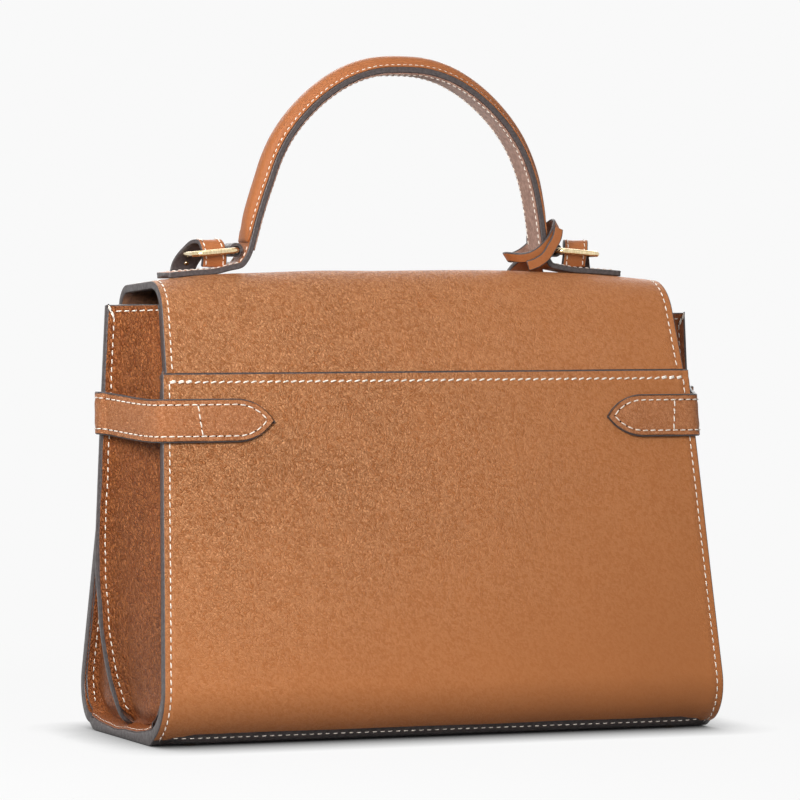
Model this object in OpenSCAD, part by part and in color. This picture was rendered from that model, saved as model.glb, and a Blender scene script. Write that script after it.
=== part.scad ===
/* [Body] */
// Width across the bottom of the bag
base_w = 280; // [250:1:310]
// Width across the bag where the flap turns over the top
crown_w = 259; // [235:1:285]
// Depth across the bottom of the bag
base_d = 132.6; // [115:0.2:150]
// Lean of the front and back walls from upright, in degrees
wall_lean = 9.5; // [8:0.1:11]
// Height of the rim, where the gussets are hemmed
rim_z = 201.8; // [190:0.2:215]
// Height of the seam where the flap leather leaves the back panel
seam_z = 170.4; // [162:0.2:176]
// Outer radius of the turn between a wall and the base
turn_r = 22; // [18:1:26]
// Radius of the lower corners seen from the back
corner_r = 9; // [4:1:14]

/* [Layers] */
// Thickness of the outer leather
leather_t = 2.4; // [1.8:0.1:2.8]
// Thickness of the stiffening board in the walls
board_t = 1.6; // [1:0.1:2]
// Thickness of the lining
lining_t = 0.75; // [0.5:0.05:1]
// Thickness of the gusset leather
gusset_t = 2; // [1.4:0.1:2.4]
// Height of the metal studs under the base
stud_h = 2; // [1.5:0.1:5]
// Diameter of a base stud
stud_d = 11; // [8:0.5:16]

/* [Gusset] */
// Width of the flange sewn inside the edge of a panel
flange_w = 8; // [6:0.5:11]
// Reach of the centre fin beyond the panel edge at the rim
fin_out = 16.2; // [8:0.2:20]
// Depth of the fin's stitched edge
fin_w = 6; // [4:0.5:8]

/* [Flap] */
// Thickness of the finished flap
flap_t = 3.6; // [3:0.1:4.4]
// Lean of the flap leather above the back seam, in degrees
yoke_lean = 19; // [15:0.5:22]
// Height of the line that the flap turns about
hinge_z = 199; // [192:0.5:204]
// Radius of the flap's back edge
crown_r = 20.5; // [17:0.5:24]
// Radius of the flap's front edge
brow_r = 10; // [7:0.5:13]
// Fall of the flap's top towards the front, in degrees
top_fall = 3; // [0:0.5:6]
// Rise of the flap's top in the middle of its width
dome_h = 5; // [0:0.5:7]
// Height of the flap's front edge
drop_z = 166; // [163:0.5:176]
// Width of the tongue that reaches the lock
tongue_w = 50; // [36:1:70]

/* [Side straps] */
// Height of a side strap
strap_w = 20; // [16:0.5:24]
// Thickness of a side strap
strap_t = 2.2; // [1.6:0.1:2.8]
// Height of the middle of the straps
strap_z = 148.9; // [138:0.1:152]
// Distance from the middle of the bag to a strap's tip on the back
back_tip_x = 84; // [60:1:100]
// Further distance of both tips to the right of the bag
tip_off = 4; // [0:0.5:6]
// Distance from the middle of the bag to a strap's tip on the front
front_tip_x = 46; // [40:1:70]
// Length of the pointed end of a strap
point_l = 18; // [14:1:26]
// Distance from the middle of the bag to a snap
snap_x = 64; // [56:1:100]

/* [Turn lock] */
// Height of the lock's middle
lock_z = 142; // [136:0.5:146]
// Length of the turning bar
knob_l = 14; // [11:0.5:16]
// Width of the turning bar
knob_w = 6.4; // [5.6:0.2:7.2]
// Height of the turning bar
knob_h = 4.2; // [3:0.2:5]
// Radius of the lock's post
post_r = 1.9; // [1.5:0.1:2.3]

/* [Handle] */
// Width of the handle across its strip
handle_w = 17; // [14:0.5:20]
// Height of the handle's inner face above the flap
handle_rise = 93.9; // [80:0.1:120]
// Distance from the middle of the bag to the bend above a foot
handle_half = 84; // [70:1:92]
// Length of a foot that lies on the flap
foot_l = 30.4; // [26:0.2:34]
// Thickness of the handle's strip
strip_t = 2.8; // [2:0.1:3.4]
// Thickness of the padded grip at the top of the handle
grip_t = 5.4; // [3:0.1:7]
// Distance of the top of the handle to the left of the middle of the bag
handle_off = 1.5; // [-3:0.1:3]
// Further distance of the handle's feet to the left
foot_off = 3; // [-3:0.1:4]

/* [Rings and trim] */
// Length of a ring from its roll to its far bar
ring_l = 21; // [18:0.5:24]
// Width of a ring across its bars
ring_w = 19; // [17:0.5:22]
// Thickness of the ring wire
wire_d = 2.8; // [2:0.1:3.2]
// Width of the band through a ring
tab_w = 12; // [9:0.5:13]
// Width of the lace
lace_w = 5; // [4:0.5:7]
// Length of the hanging tag
tag_l = 33; // [26:1:38]
// Width of the hanging tag
tag_w = 19; // [14:1:24]

/* [Hidden] */
$fn = 48;
tan_leather = [0.69, 0.44, 0.26];
deep_leather = [0.6, 0.34, 0.17];
edge_paint = [0.24, 0.2, 0.2];
suede = [0.62, 0.46, 0.4];
gold = [0.86, 0.76, 0.56];
board_grey = [0.55, 0.52, 0.48];
// Overrun of every cutting solid past the faces that it opens
over = 1;
// Gap between pieces of different bodies that lie on each other
rest_gap = 0.3;
// Gap between pieces sewn to each other
sewn_gap = 0.05;
// Radial clearance of the knob on its post
post_fit = 0.05;

// Height of the cut lower edge of the outer panels
edge_z = stud_h + turn_r / 5;
// Height at which the crown width is measured
crown_z = rim_z + crown_r * 0.4;
turn_z = stud_h + turn_r;
turn_y = base_d / 2 - (turn_z - edge_z) * tan(wall_lean) - turn_r / cos(wall_lean);
turn_end = -asin((turn_z - edge_z) / turn_r);
shell_t = leather_t + board_t;
lining_inset = flange_w + gusset_t;
arc_steps = 8;

// Half the width of a panel at a height
function half_w(z) = base_w / 2 - (base_w - crown_w) / 2 * (z - edge_z) / (crown_z - edge_z);

// Distance of a wall's surface from the middle, at a height and a depth in from its outer face
function wall_y(z, d) = z > turn_z + (turn_r - d) * sin(wall_lean)
    ? base_d / 2 - (z - edge_z) * tan(wall_lean) - d / cos(wall_lean)
    : turn_y + sqrt(max(0, pow(turn_r - d, 2) - pow(z - turn_z, 2)));

function arc(c, r, a0, a1, n) = [for (i = [0:n]) let (a = a0 + (a1 - a0) * i / n) c + r * [cos(a), sin(a)]];
// Turns points of depth and height from the back to the front
flip = [[-1, 0], [0, 1]];
function turned(list) = [for (i = [len(list) - 1:-1:0]) list[i]];
function unit(v) = v / norm(v);

// Outline in depth and height of a wall layer from a height down to an angle on the turn
function wall_line(d, hi, a1) = concat([[wall_y(hi, d), hi]],
    arc([turn_y, turn_z], turn_r - d, wall_lean, a1, arc_steps));
function wall_layer(d0, d1, hi, a1) = concat(wall_line(d0, hi, a1), turned(wall_line(d1, hi, a1)));

module along_x(length) {
    translate([-length / 2, 0, 0]) rotate([90, 0, 90]) linear_extrude(length) children();
}

module along_y(length) {
    translate([0, length / 2, 0]) rotate([90, 0, 0]) linear_extrude(length) children();
}

// Shape of the bag seen from the back, drawn in by an inset
module panel_outline(inset, hi) {
    low = half_w(stud_h) - inset;
    r = max(corner_r - inset, leather_t);
    polygon(concat(
        arc([low - r, stud_h + r], r, 0, -90, arc_steps),
        arc([r - low, stud_h + r], r, 270, 180, arc_steps),
        [[inset - half_w(hi), hi], [half_w(hi) - inset, hi]]));
}

module between_sides(inset) {
    intersection() {
        children();
        along_y(base_d * 2) panel_outline(inset, rim_z + handle_rise);
    }
}

// Frame of a wall: x to the side, y up the wall from its cut edge, z out of it; side 1 back, -1 front
module on_wall(side) {
    mirror([0, side > 0 ? 0 : 1, 0]) translate([0, base_d / 2, edge_z]) rotate([wall_lean, 0, 0])
        rotate([90, 0, 180]) children();
}
// Way up the wall to a height on its outer face
function up_wall(z) = (z - edge_z) / cos(wall_lean);
// Depth and height of a point on the front wall, at a way up and a distance out
function front_pt(s, e) = [-base_d / 2 + s * sin(wall_lean) - e * cos(wall_lean),
    edge_z + s * cos(wall_lean) + e * sin(wall_lean)];

// Closed skin through rings of points that all have as many points; both faces of a sheet are cut alike
module loft(rings, closed = false) {
    n = len(rings[0]);
    m = len(rings);
    last = closed ? m - 1 : m - 2;
    sides = [for (i = [0:last], j = [0:n - 1]) let (a = i * n + j, b = i * n + (j + 1) % n,
        c = ((i + 1) % m) * n + (j + 1) % n, d = ((i + 1) % m) * n + j)
        each (j < n / 2 ? [[a, b, c], [a, c, d]] : [[a, b, d], [b, c, d]])];
    caps = closed ? [] : [[for (j = [n - 1:-1:0]) j], [for (j = [0:n - 1]) (m - 1) * n + j]];
    polyhedron(points = [for (r = rings) each r], faces = concat(sides, caps));
}

// Closed outline of a bent sheet from its middle line and thickness
function line_dir(p, i) = unit(p[min(i + 1, len(p) - 1)] - p[max(i - 1, 0)]);
function leg(p, i) = i >= 0 && i < len(p) - 1 ? unit(p[i + 1] - p[i]) : [0, 0];
function thick(p, t) = let (sides = [for (i = [0:len(p) - 1]) let (d = unit(leg(p, i - 1) + leg(p, i)),
    a = i > 0 && i < len(p) - 1 ? leg(p, i) * d : 1) [-d[1], d[0]] * t / 2 / max(a, 0.6)])
    concat([for (i = [0:len(p) - 1]) p[i] + sides[i]], [for (i = [len(p) - 1:-1:0]) p[i] - sides[i]]);

// Smooth curve through points
function spline_pt(a, b, c, d, t) = 0.5 * (2 * b + (c - a) * t + (2 * a - 5 * b + 4 * c - d) * t * t
    + (3 * b - a - 3 * c + d) * t * t * t);
function spline(p, n) = concat([for (i = [0:len(p) - 2], k = [0:n - 1]) spline_pt(p[max(i - 1, 0)], p[i],
    p[i + 1], p[min(i + 2, len(p) - 1)], k / n)], [p[len(p) - 1]]);

module wall(d0, d1, hi, inset) {
    between_sides(inset) along_x(base_w + over) polygon(wall_layer(d0, d1, hi, turn_end));
}

// The lock's post passes through the front wall
lock_s = up_wall(lock_z);
module lock_hole(r) {
    on_wall(-1) translate([0, lock_s, -shell_t - over]) cylinder(r = r, h = shell_t + 2 * over);
}
module snap_holes(r) {
    for (x = [-snap_x, snap_x]) on_wall(-1) translate([x, up_wall(strap_z), -shell_t - over])
        cylinder(r = r, h = shell_t + 2 * over);
}

module back_panel() {
    color(tan_leather) wall(0, leather_t, seam_z, 0);
}

module front_panel() {
    color(tan_leather) difference() {
        mirror([0, 1, 0]) wall(0, leather_t, rim_z, 0);
        lock_hole(post_r + sewn_gap);
        snap_holes(snap_r + sewn_gap);
    }
}

// The base leather lies a little inside the panels' outer faces, and starts just past their cut edges
base_step = leather_t / 5;
base_seam = 1;
module base_panel() {
    half = arc([turn_y, turn_z], turn_r - base_step, turn_end - base_seam, -90, arc_steps);
    inner = arc([turn_y, turn_z], turn_r - leather_t, turn_end - base_seam, -90, arc_steps);
    color(tan_leather) difference() {
        between_sides(0) along_x(base_w + over)
            polygon(concat(half, turned(half) * flip, inner * flip, turned(inner)));
        stud_places() cylinder(r = shank_r + sewn_gap, h = turn_r);
    }
}

// Height of the inside of the board in the base
board_top = stud_h + shell_t;
tuck_l = strap_t * 5;
module back_board() {
    color(board_grey) wall(leather_t, shell_t, seam_z - tuck_l - sewn_gap, sewn_gap);
}

plate_l = knob_l * 1.6;
plate_w = knob_l;
module front_board() {
    color(board_grey) difference() {
        mirror([0, 1, 0]) wall(leather_t, shell_t, rim_z, sewn_gap);
        on_wall(-1) translate([0, lock_s, -shell_t / 2])
            cube([plate_w + 2 * sewn_gap, plate_l + 2 * sewn_gap, shell_t + 2 * over], center = true);
        snap_holes(snap_r + sewn_gap);
    }
}

module base_board() {
    color(board_grey) difference() {
        translate([-half_w(stud_h) + lining_inset, -turn_y, stud_h + leather_t])
            cube([2 * (half_w(stud_h) - lining_inset), 2 * turn_y, board_t]);
        stud_places() cylinder(r = shank_r + sewn_gap, h = turn_r);
    }
}

// Four studs hold the base leather off the ground, each with a shank turned over inside the board
shank_r = stud_d / 5;
stud_in = stud_d * 1.8;
module stud_places() {
    for (x = [-1, 1], y = [-1, 1])
        translate([x * (half_w(stud_h) - stud_in), y * turn_y, 0]) children();
}
module base_studs() {
    color(gold) stud_places() {
        cylinder(r1 = stud_d * 0.3, r2 = stud_d / 2, h = stud_h * 0.6);
        translate([0, 0, stud_h * 0.6]) cylinder(r = stud_d / 2, h = stud_h * 0.4 + base_step);
        cylinder(r = shank_r, h = board_top);
    }
}

module lining() {
    d0 = shell_t + sewn_gap;
    d1 = d0 + lining_t;
    top = rim_z - leather_t;
    back = seam_z - sewn_gap;
    outer = concat(wall_line(d0, back, -90), turned(wall_line(d0, top, -90)) * flip);
    inner = concat(wall_line(d1, back, -90), turned(wall_line(d1, top, -90)) * flip);
    color(suede) difference() {
        between_sides(lining_inset) along_x(base_w) polygon(concat(outer, turned(inner)));
        stud_places() cylinder(r = shank_r + sewn_gap, h = board_top + sewn_gap);
    }
}

// A slip pocket lies flat against the lining of the back wall
pocket_w = base_w / 2;
pocket_l = (seam_z - turn_z) * 0.55;
module inner_pocket() {
    color(suede) on_wall(1)
        translate([-pocket_w / 2, up_wall(turn_z) + turn_r, -shell_t - 2 * lining_t - 2 * sewn_gap])
            cube([pocket_w, pocket_l, lining_t]);
}

// Height and reach of the fin's edge, as shares of the rim's height and of the fin's reach at the rim
fin_shares = [[0.034, -0.307], [0.038, -0.224], [0.052, -0.024], [0.088, 0.172], [0.148, 0.42],
    [0.248, 0.695], [0.321, 0.815], [0.413, 0.949], [0.552, 0.976], [0.666, 0.99], [0.781, 1], [1, 1.01]];
// Outer face of the flap leather above the back seam
function yoke_y(z, d) = wall_y(seam_z, 0) - leather_t / 2 - (z - seam_z) * tan(yoke_lean)
    - d / cos(yoke_lean);
hinge_y = yoke_y(hinge_z, 0);
// The moving flap turns over the back edge, crosses the top and drops over the front
crown_c = [hinge_y, hinge_z] - crown_r * [cos(yoke_lean), sin(yoke_lean)];
top_angle = 90 + top_fall;
front_angle = 180 - wall_lean;
top_n = [cos(top_angle), sin(top_angle)];
front_n = [cos(front_angle), sin(front_angle)];
top_reach = top_n * crown_c + crown_r - brow_r;
front_reach = front_n * front_pt(0, rest_gap + flap_t) - brow_r;
cross = top_n[0] * front_n[1] - top_n[1] * front_n[0];
brow_c = [top_reach * front_n[1] - front_reach * top_n[1],
    front_reach * top_n[0] - top_reach * front_n[0]] / cross;
// Where the straight front of the flap begins
join_s = up_wall(rim_z) - brow_r * 0.6;
crown_steps = 7;
brow_steps = 5;
half_flap = crown_w / 2;

// Inside of the shell at a height, back or front, clear of the flap where it turns over the rim
function crown_y(z) = crown_c[0] + sqrt(pow(crown_r - flap_t, 2) - pow(z - crown_c[1], 2)) - rest_gap;
function shell_in(z, side) = z < turn_z ? wall_y(z, shell_t + lining_t + 2 * sewn_gap)
    : side < 0 || z < seam_z ? wall_y(z, shell_t)
    : z < hinge_z ? yoke_y(z, flap_t) : min(yoke_y(z, flap_t), crown_y(z));
// Edge of a panel at a height, drawn in where its lower corner is rounded
function edge_x(z) = half_w(z) - sewn_gap - (z < stud_h + corner_r
    ? corner_r - sqrt(pow(corner_r, 2) - pow(stud_h + corner_r - z, 2)) : 0);

module gusset_half(side) {
    rings = [for (f = fin_shares)
        let (z = max(f[0] * rim_z, board_top + lining_t + 3 * sewn_gap),
            edge = half_w(z) + f[1] * fin_out,
            mid = sewn_gap + gusset_t / 2,
            y = shell_in(z, side) - mid,
            bend = half_w(z) - flange_w,
            root = edge - fin_w,
            plan = [[edge_x(z), y], [bend + gusset_t, y], [min(bend, root - gusset_t), y - gusset_t * 1.2],
                [(bend + root) / 2 + gusset_t, (y - gusset_t) / 2], [root, mid + gusset_t / 4], [edge, mid]])
        [for (p = thick(plan, gusset_t)) [p[0], side * p[1], z]]];
    loft(side > 0 ? rings : [for (r = rings) turned(r)]);
}
module gusset_left_back() {
    color(deep_leather) gusset_half(1);
}
module gusset_left_front() {
    color(deep_leather) gusset_half(-1);
}
module gusset_right_back() {
    color(deep_leather) mirror([1, 0, 0]) gusset_half(1);
}
module gusset_right_front() {
    color(deep_leather) mirror([1, 0, 0]) gusset_half(-1);
}

// The part of the flap leather that is sewn to the back wall, up to the line that the flap turns about
flap_inset = leather_t * 0.6;
function across_yoke(t, d) = [hinge_y - t * sin(yoke_lean) - d * cos(yoke_lean),
    hinge_z + t * cos(yoke_lean) - d * sin(yoke_lean)];
module flap_yoke() {
    low = seam_z - tuck_l;
    color(tan_leather) between_sides(flap_inset) along_x(base_w) polygon([
        [wall_y(low, leather_t + sewn_gap), low], [wall_y(seam_z, leather_t + sewn_gap), seam_z],
        [yoke_y(seam_z + sewn_gap, 0), seam_z + sewn_gap], across_yoke(-rest_gap / 2, 0),
        across_yoke(-rest_gap / 2, flap_t),
        [yoke_y(seam_z + sewn_gap, flap_t), seam_z + sewn_gap], [wall_y(seam_z, shell_t), seam_z],
        [wall_y(low, shell_t), low]]);
}

function dome(share) = dome_h * (1 - pow(abs(share), 3));
function ease(t) = t * t * (3 - 2 * t);
// Depth, height and share of the dome along the flap to its front edge, at a depth in from its outer face
function flap_line(d, end) = concat(
    [concat(across_yoke(rest_gap / 2, d), [0])],
    [for (i = [1:crown_steps]) let (a = yoke_lean + (top_angle - yoke_lean) * i / crown_steps)
        concat(crown_c + (crown_r - d) * [cos(a), sin(a)], [ease(i / crown_steps)])],
    [for (i = [0:brow_steps]) let (a = top_angle + (front_angle - top_angle) * i / brow_steps)
        concat(brow_c + (brow_r - d) * [cos(a), sin(a)], [ease(1 - i / brow_steps)])],
    [for (s = [join_s, end]) concat(front_pt(s, rest_gap + flap_t - d), [0])]);
function flap_ring(share, end, d0, d1) = [for (p = concat(flap_line(d0, end), turned(flap_line(d1, end))))
    [share * (half_w(p[1]) - flap_inset), p[0], p[1] + p[2] * dome(share)]];

// Distances out of the front wall of the slot plate's face and of the top of the turning bar
plate_t = strap_t / 2;
lock_face = rest_gap + flap_t + plate_t;
lock_top = lock_face + rest_gap + knob_h;
flap_skin = flap_t * 0.6;
// The slot clears the bar, and reaches lower because the tongue rises as it swings out
slot_w = knob_w + 5 * rest_gap;
slot_up = knob_l / 2 + rest_gap * 3;
slot_down = knob_l / 2 + (lock_top - rest_gap) * 1.1;
// A long hole or bar with round ends, from a low to a high end
module stadium(w, low, high) {
    translate([0, low + w / 2]) circle(d = w);
    translate([0, high - w / 2]) circle(d = w);
    translate([-w / 2, low + w / 2]) square([w, high - low - w]);
}
module slot_2d(extra) {
    stadium(slot_w + 2 * extra, lock_s - slot_down - extra, lock_s + slot_up + extra);
}
tongue_tip = lock_s - slot_down - tongue_w / 4;
drop_s = up_wall(drop_z);
// Way up the front wall of the flap's edge, at a distance from the middle
tongue_r = tongue_w / 2;
flap_side = half_w(drop_z) - flap_inset;
function circle_y(r, x) = sqrt(max(0, r * r - x * x));
function flap_end(x) = x <= tongue_r ? tongue_tip + tongue_r - circle_y(tongue_r, x)
    : x < tongue_r + corner_r ? drop_s - corner_r + circle_y(corner_r, tongue_r + corner_r - x)
    : x > flap_side - corner_r ? drop_s + corner_r - circle_y(corner_r, x - flap_side + corner_r)
    : drop_s;
// Distances from the middle at which the flap is cut into strips
tongue_cuts = [for (i = [1:arc_steps]) tongue_r * sin(90 * i / arc_steps)];
fillet_cuts = [for (a = [15:25:90]) tongue_r + corner_r * (1 - cos(a))];
side_cuts = [for (i = [0:4]) flap_side - (flap_side - tongue_r) * (1 - i / 5) * 0.8];
end_cuts = [for (a = [0:22.5:90]) flap_side - corner_r * (1 - sin(a))];
half_cuts = concat(tongue_cuts, fillet_cuts,
    [for (x = side_cuts) if (x < flap_side - corner_r) x], end_cuts);
flap_cuts = concat(turned(half_cuts), [0], -half_cuts);
module flap_part(d0, d1, lowest) {
    loft([for (x = flap_cuts) flap_ring(x / flap_side, max(flap_end(abs(x)), lowest), d0, d1)]);
}
module flap_leather() {
    color(tan_leather) difference() {
        flap_part(0, flap_skin, 0);
        on_wall(-1) linear_extrude(rest_gap + flap_t + over) slot_2d(0);
        anchor_places() cylinder(r = anchor_r + sewn_gap, h = 2 * flap_t, center = true);
    }
}
// The lining stops above the tongue
module flap_lining() {
    color(suede) flap_part(flap_skin + sewn_gap, flap_t, drop_s);
}

// A plate with a slot is riveted to the tongue and drops over the lock's bar
module slot_plate() {
    color(gold) on_wall(-1) translate([0, 0, rest_gap + flap_t]) linear_extrude(plate_t) difference() {
        slot_2d(knob_w * 0.6);
        slot_2d(0);
    }
}

module lock_base() {
    color(gold) on_wall(-1) translate([0, lock_s, 0]) {
        linear_extrude(lock_face) stadium(knob_w, -knob_l / 2, knob_l / 2);
        translate([0, 0, -leather_t]) cylinder(r = post_r, h = leather_t + lock_top - plate_t - rest_gap);
    }
}
module lock_backplate() {
    color(gold) on_wall(-1) translate([0, lock_s, -leather_t - board_t / 2])
        cube([plate_w, plate_l, board_t], center = true);
}
module lock_knob() {
    color(gold) on_wall(-1) translate([0, lock_s, lock_face + rest_gap]) difference() {
        linear_extrude(knob_h) stadium(knob_w, -knob_l / 2, knob_l / 2);
        translate([0, 0, -over]) cylinder(r = post_r + post_fit, h = knob_h - plate_t + over);
    }
}

// Pointed end of a strap: two arcs that meet at the tip
point_r = (point_l * point_l + pow(strap_w / 2, 2)) / strap_w;
point_a = asin(point_l / point_r);
function strap_outline(tip, end) = concat([[end, -strap_w / 2]],
    arc([tip + point_l, point_r - strap_w / 2], point_r, 270, 270 - point_a, arc_steps),
    arc([tip + point_l, strap_w / 2 - point_r], point_r, 90 + point_a, 90, arc_steps),
    [[end, strap_w / 2]]);

strap_s = up_wall(strap_z);
// The strap turns over the corner of a wall this far from the middle of the bag
strap_turn_x = half_w(strap_z) + strap_t * 0.9;
knuckle = strap_t * 0.55;

// The side of a strap, seen from above, from the back wall round the fin to the front corner
function strap_y(z, lift) = wall_y(z, 0) + (lift + strap_t / 2) / cos(wall_lean);
function strap_plan(z) = let (side = half_w(strap_z - strap_w / 2),
    fin = side + fin_out * 1.02 + sewn_gap + strap_t / 2,
    yb = strap_y(z, sewn_gap), yf = strap_y(z, rest_gap),
    dir = unit([fin - strap_turn_x, yf]))
    concat([[side - strap_w / 2, yb], [side + strap_t * 0.3, yb],
        [strap_turn_x + strap_t * 0.2, yb - strap_t * 0.5]],
    [for (i = [0:arc_steps]) let (a = 180 * i / arc_steps - 90)
        [fin - strap_t * 1.5 * (1 - cos(a)), -strap_t * 2.4 * sin(a)]],
    [[strap_turn_x, -yf] + dir * knuckle]);
// Corners of a strap's cut: inner low, inner high, outer high, outer low
function back_pt(x, s, e) = [x, base_d / 2 - s * sin(wall_lean) + e * cos(wall_lean),
    edge_z + s * cos(wall_lean) + e * sin(wall_lean)];
function tip_ring(x, h, e) = [back_pt(x, strap_s - h, e), back_pt(x, strap_s + h, e),
    back_pt(x, strap_s + h, e + strap_t), back_pt(x, strap_s - h, e + strap_t)];
module strap_back(tip) {
    half = strap_w / 2 * cos(wall_lean);
    low = thick(strap_plan(strap_z - half), strap_t);
    high = thick(strap_plan(strap_z + half), strap_t);
    n = len(low);
    loft(concat(
        [for (i = [arc_steps:-1:0]) let (a = point_a * i / arc_steps)
            tip_ring(tip + point_l - point_r * sin(a),
                max(strap_w / 2 - point_r * (1 - cos(a)), strap_t / 5), sewn_gap)],
        [for (i = [0:n / 2 - 1]) [
            concat(low[n - 1 - i], strap_z - half), concat(high[n - 1 - i], strap_z + half),
            concat(high[i], strap_z + half), concat(low[i], strap_z - half)]]));
}
module strap_left_back() {
    color(tan_leather) strap_back(back_tip_x - tip_off);
}
module strap_right_back() {
    color(tan_leather) mirror([1, 0, 0]) strap_back(back_tip_x + tip_off);
}

// Each front strap closes on a snap and swings out from the front corner
snap_r = strap_t;
module strap_front() {
    difference() {
        on_wall(-1) translate([0, strap_s, rest_gap]) linear_extrude(strap_t) mirror([1, 0])
            polygon(strap_outline(front_tip_x, strap_turn_x - knuckle));
        on_wall(-1) translate([-snap_x, strap_s, 0]) cylinder(r = snap_r + 2 * rest_gap, h = 3 * strap_t);
    }
}
module strap_left_front() {
    color(tan_leather) strap_front();
}
module strap_right_front() {
    color(tan_leather) mirror([1, 0, 0]) strap_front();
}
module snap_posts() {
    color(gold) for (x = [-snap_x, snap_x]) on_wall(-1) translate([x, strap_s, -shell_t])
        cylinder(r = snap_r, h = shell_t + strap_t);
}
cap_r = strap_w * 0.3;
module snap_cap() {
    on_wall(-1) translate([-snap_x, strap_s, rest_gap + strap_t]) {
        cylinder(r = cap_r, h = strap_t / 2);
        translate([0, 0, strap_t / 2]) cylinder(r1 = cap_r, r2 = cap_r * 0.7, h = strap_t / 3);
    }
}
module snap_cap_left() {
    color(gold) snap_cap();
}
module snap_cap_right() {
    color(gold) mirror([1, 0, 0]) snap_cap();
}

// Handle: shares of its half width and of its rise, from the middle of its inner face to the bend
handle_shares = [[0, 1], [0.16, 0.99], [0.31, 0.946], [0.454, 0.866], [0.577, 0.765], [0.665, 0.665],
    [0.726, 0.564], [0.768, 0.464], [0.801, 0.365], [0.829, 0.265], [0.852, 0.165], [0.866, 0.105],
    [0.888, 0.058], [0.925, 0.02], [1, 0.004]];
function top_z(x) = crown_c[1] + crown_r - crown_c[0] * tan(top_fall) + dome(x / half_flap) + leather_t / 5;
foot_z = top_z(handle_half);
suede_t = lining_t;
foot_bend = handle_half * 1.09;
// The handle stands off the middle of the bag, and its feet a little further
function off_x(z) = handle_off + foot_off * max(0, 1 - (z - foot_z) / (handle_rise * 0.45));
function limb_pt(side, share) = let (z = foot_z + share[1] * handle_rise)
    [side * share[0] * handle_half + off_x(z), z];
function foot_pt(side, x) = let (at = side * x + handle_off + foot_off) [at, top_z(at) - suede_t + sewn_gap];
function limb(side) = concat([for (share = handle_shares) limb_pt(side, share)],
    [for (x = [foot_bend, (foot_bend + handle_half + foot_l) / 2, handle_half + foot_l]) foot_pt(side, x)]);
handle_curve = spline(concat(turned([for (i = [1:len(limb(-1)) - 1]) limb(-1)[i]]), limb(1)), 3);
function offset_line(p, t) = [for (i = [0:len(p) - 1]) let (d = line_dir(p, i)) p[i] + t * [-d[1], d[0]]];
function band_of(p, t0, t1) = concat(offset_line(p, t0), turned(offset_line(p, t1)));

// Only the arch above this height is padded and lined
grip_low = foot_z + handle_rise * 0.235;
arch_curve = [for (p = handle_curve) if (p[1] > grip_low) p];
// The padding thins from the top of the arch to its ends
grip_thin_share = 0.62;
function grip_at(p) = grip_t * (grip_thin_share
    + (1 - grip_thin_share) * (p[1] - grip_low) / (foot_z + handle_rise - grip_low));
function grip_line(p, base, share) = [for (i = [0:len(p) - 1]) let (d = line_dir(p, i))
    p[i] + (base + share * grip_at(p[i])) * [-d[1], d[0]]];
module handle_strip() {
    color(edge_paint) along_y(handle_w) polygon(band_of(handle_curve, suede_t, suede_t + strip_t));
}
module handle_lining() {
    color(suede) along_y(handle_w - strip_t / 2) polygon(band_of(arch_curve, 0, suede_t));
}
module core_2d(slack) {
    polygon(concat(grip_line(arch_curve, suede_t + strip_t - slack, 0),
        turned(grip_line(arch_curve, suede_t + strip_t + slack, 0.6))));
}
core_w = handle_w * 0.5;
module handle_grip() {
    p = arch_curve;
    color(tan_leather) difference() {
        union() {
            along_y(handle_w - strip_t / 2) polygon(concat(grip_line(p, suede_t + strip_t, 0),
                turned(grip_line(p, suede_t + strip_t, 0.6))));
            along_y(handle_w * 0.66) polygon(concat(grip_line(p, suede_t + strip_t, 0.5),
                turned(grip_line(p, suede_t + strip_t, 1))));
        }
        along_y(core_w + 2 * sewn_gap) core_2d(sewn_gap);
    }
}
module handle_core() {
    color(board_grey) along_y(core_w) core_2d(0);
}

// Posts through the flap leather hold the feet of the handle
anchor_r = strip_t * 0.6;
anchor_x = handle_half + foot_l * 0.35;
anchor_pitch = foot_l * 0.5;
module anchor_places() {
    for (side = [-1, 1], i = [0, 1]) let (foot = foot_pt(side, anchor_x + i * anchor_pitch))
        translate([foot[0], 0, foot[1] + suede_t]) children();
}
module handle_anchors() {
    color(gold) anchor_places() translate([0, 0, -flap_skin])
        cylinder(r = anchor_r, h = flap_skin - 5 * sewn_gap);
}

// A leather roll holds the inner bar of each ring against the handle
roll_r = wire_d * 1.3;
roll_x = handle_half * 0.88 + suede_t + strip_t + roll_r;
roll_z = foot_z + handle_rise * 0.115;
ring_bend = wire_d * 1.4;
roll_w = ring_w - 2 * ring_bend - 2 * sewn_gap;
// The trim of a foot is made on the left, and mirrored for the right
module on_foot(side) {
    translate([off_x(roll_z), 0, 0]) mirror([side > 0 ? 0 : 1, 0, 0]) children();
}
module roll() {
    translate([roll_x, 0, roll_z]) rotate([90, 0, 0]) difference() {
        cylinder(r = roll_r, h = roll_w, center = true);
        cylinder(r = wire_d / 2 + sewn_gap, h = roll_w + 2 * over, center = true);
    }
}
module roll_left() {
    color(edge_paint) on_foot(1) roll();
}
module roll_right() {
    color(edge_paint) on_foot(-1) roll();
}

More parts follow.
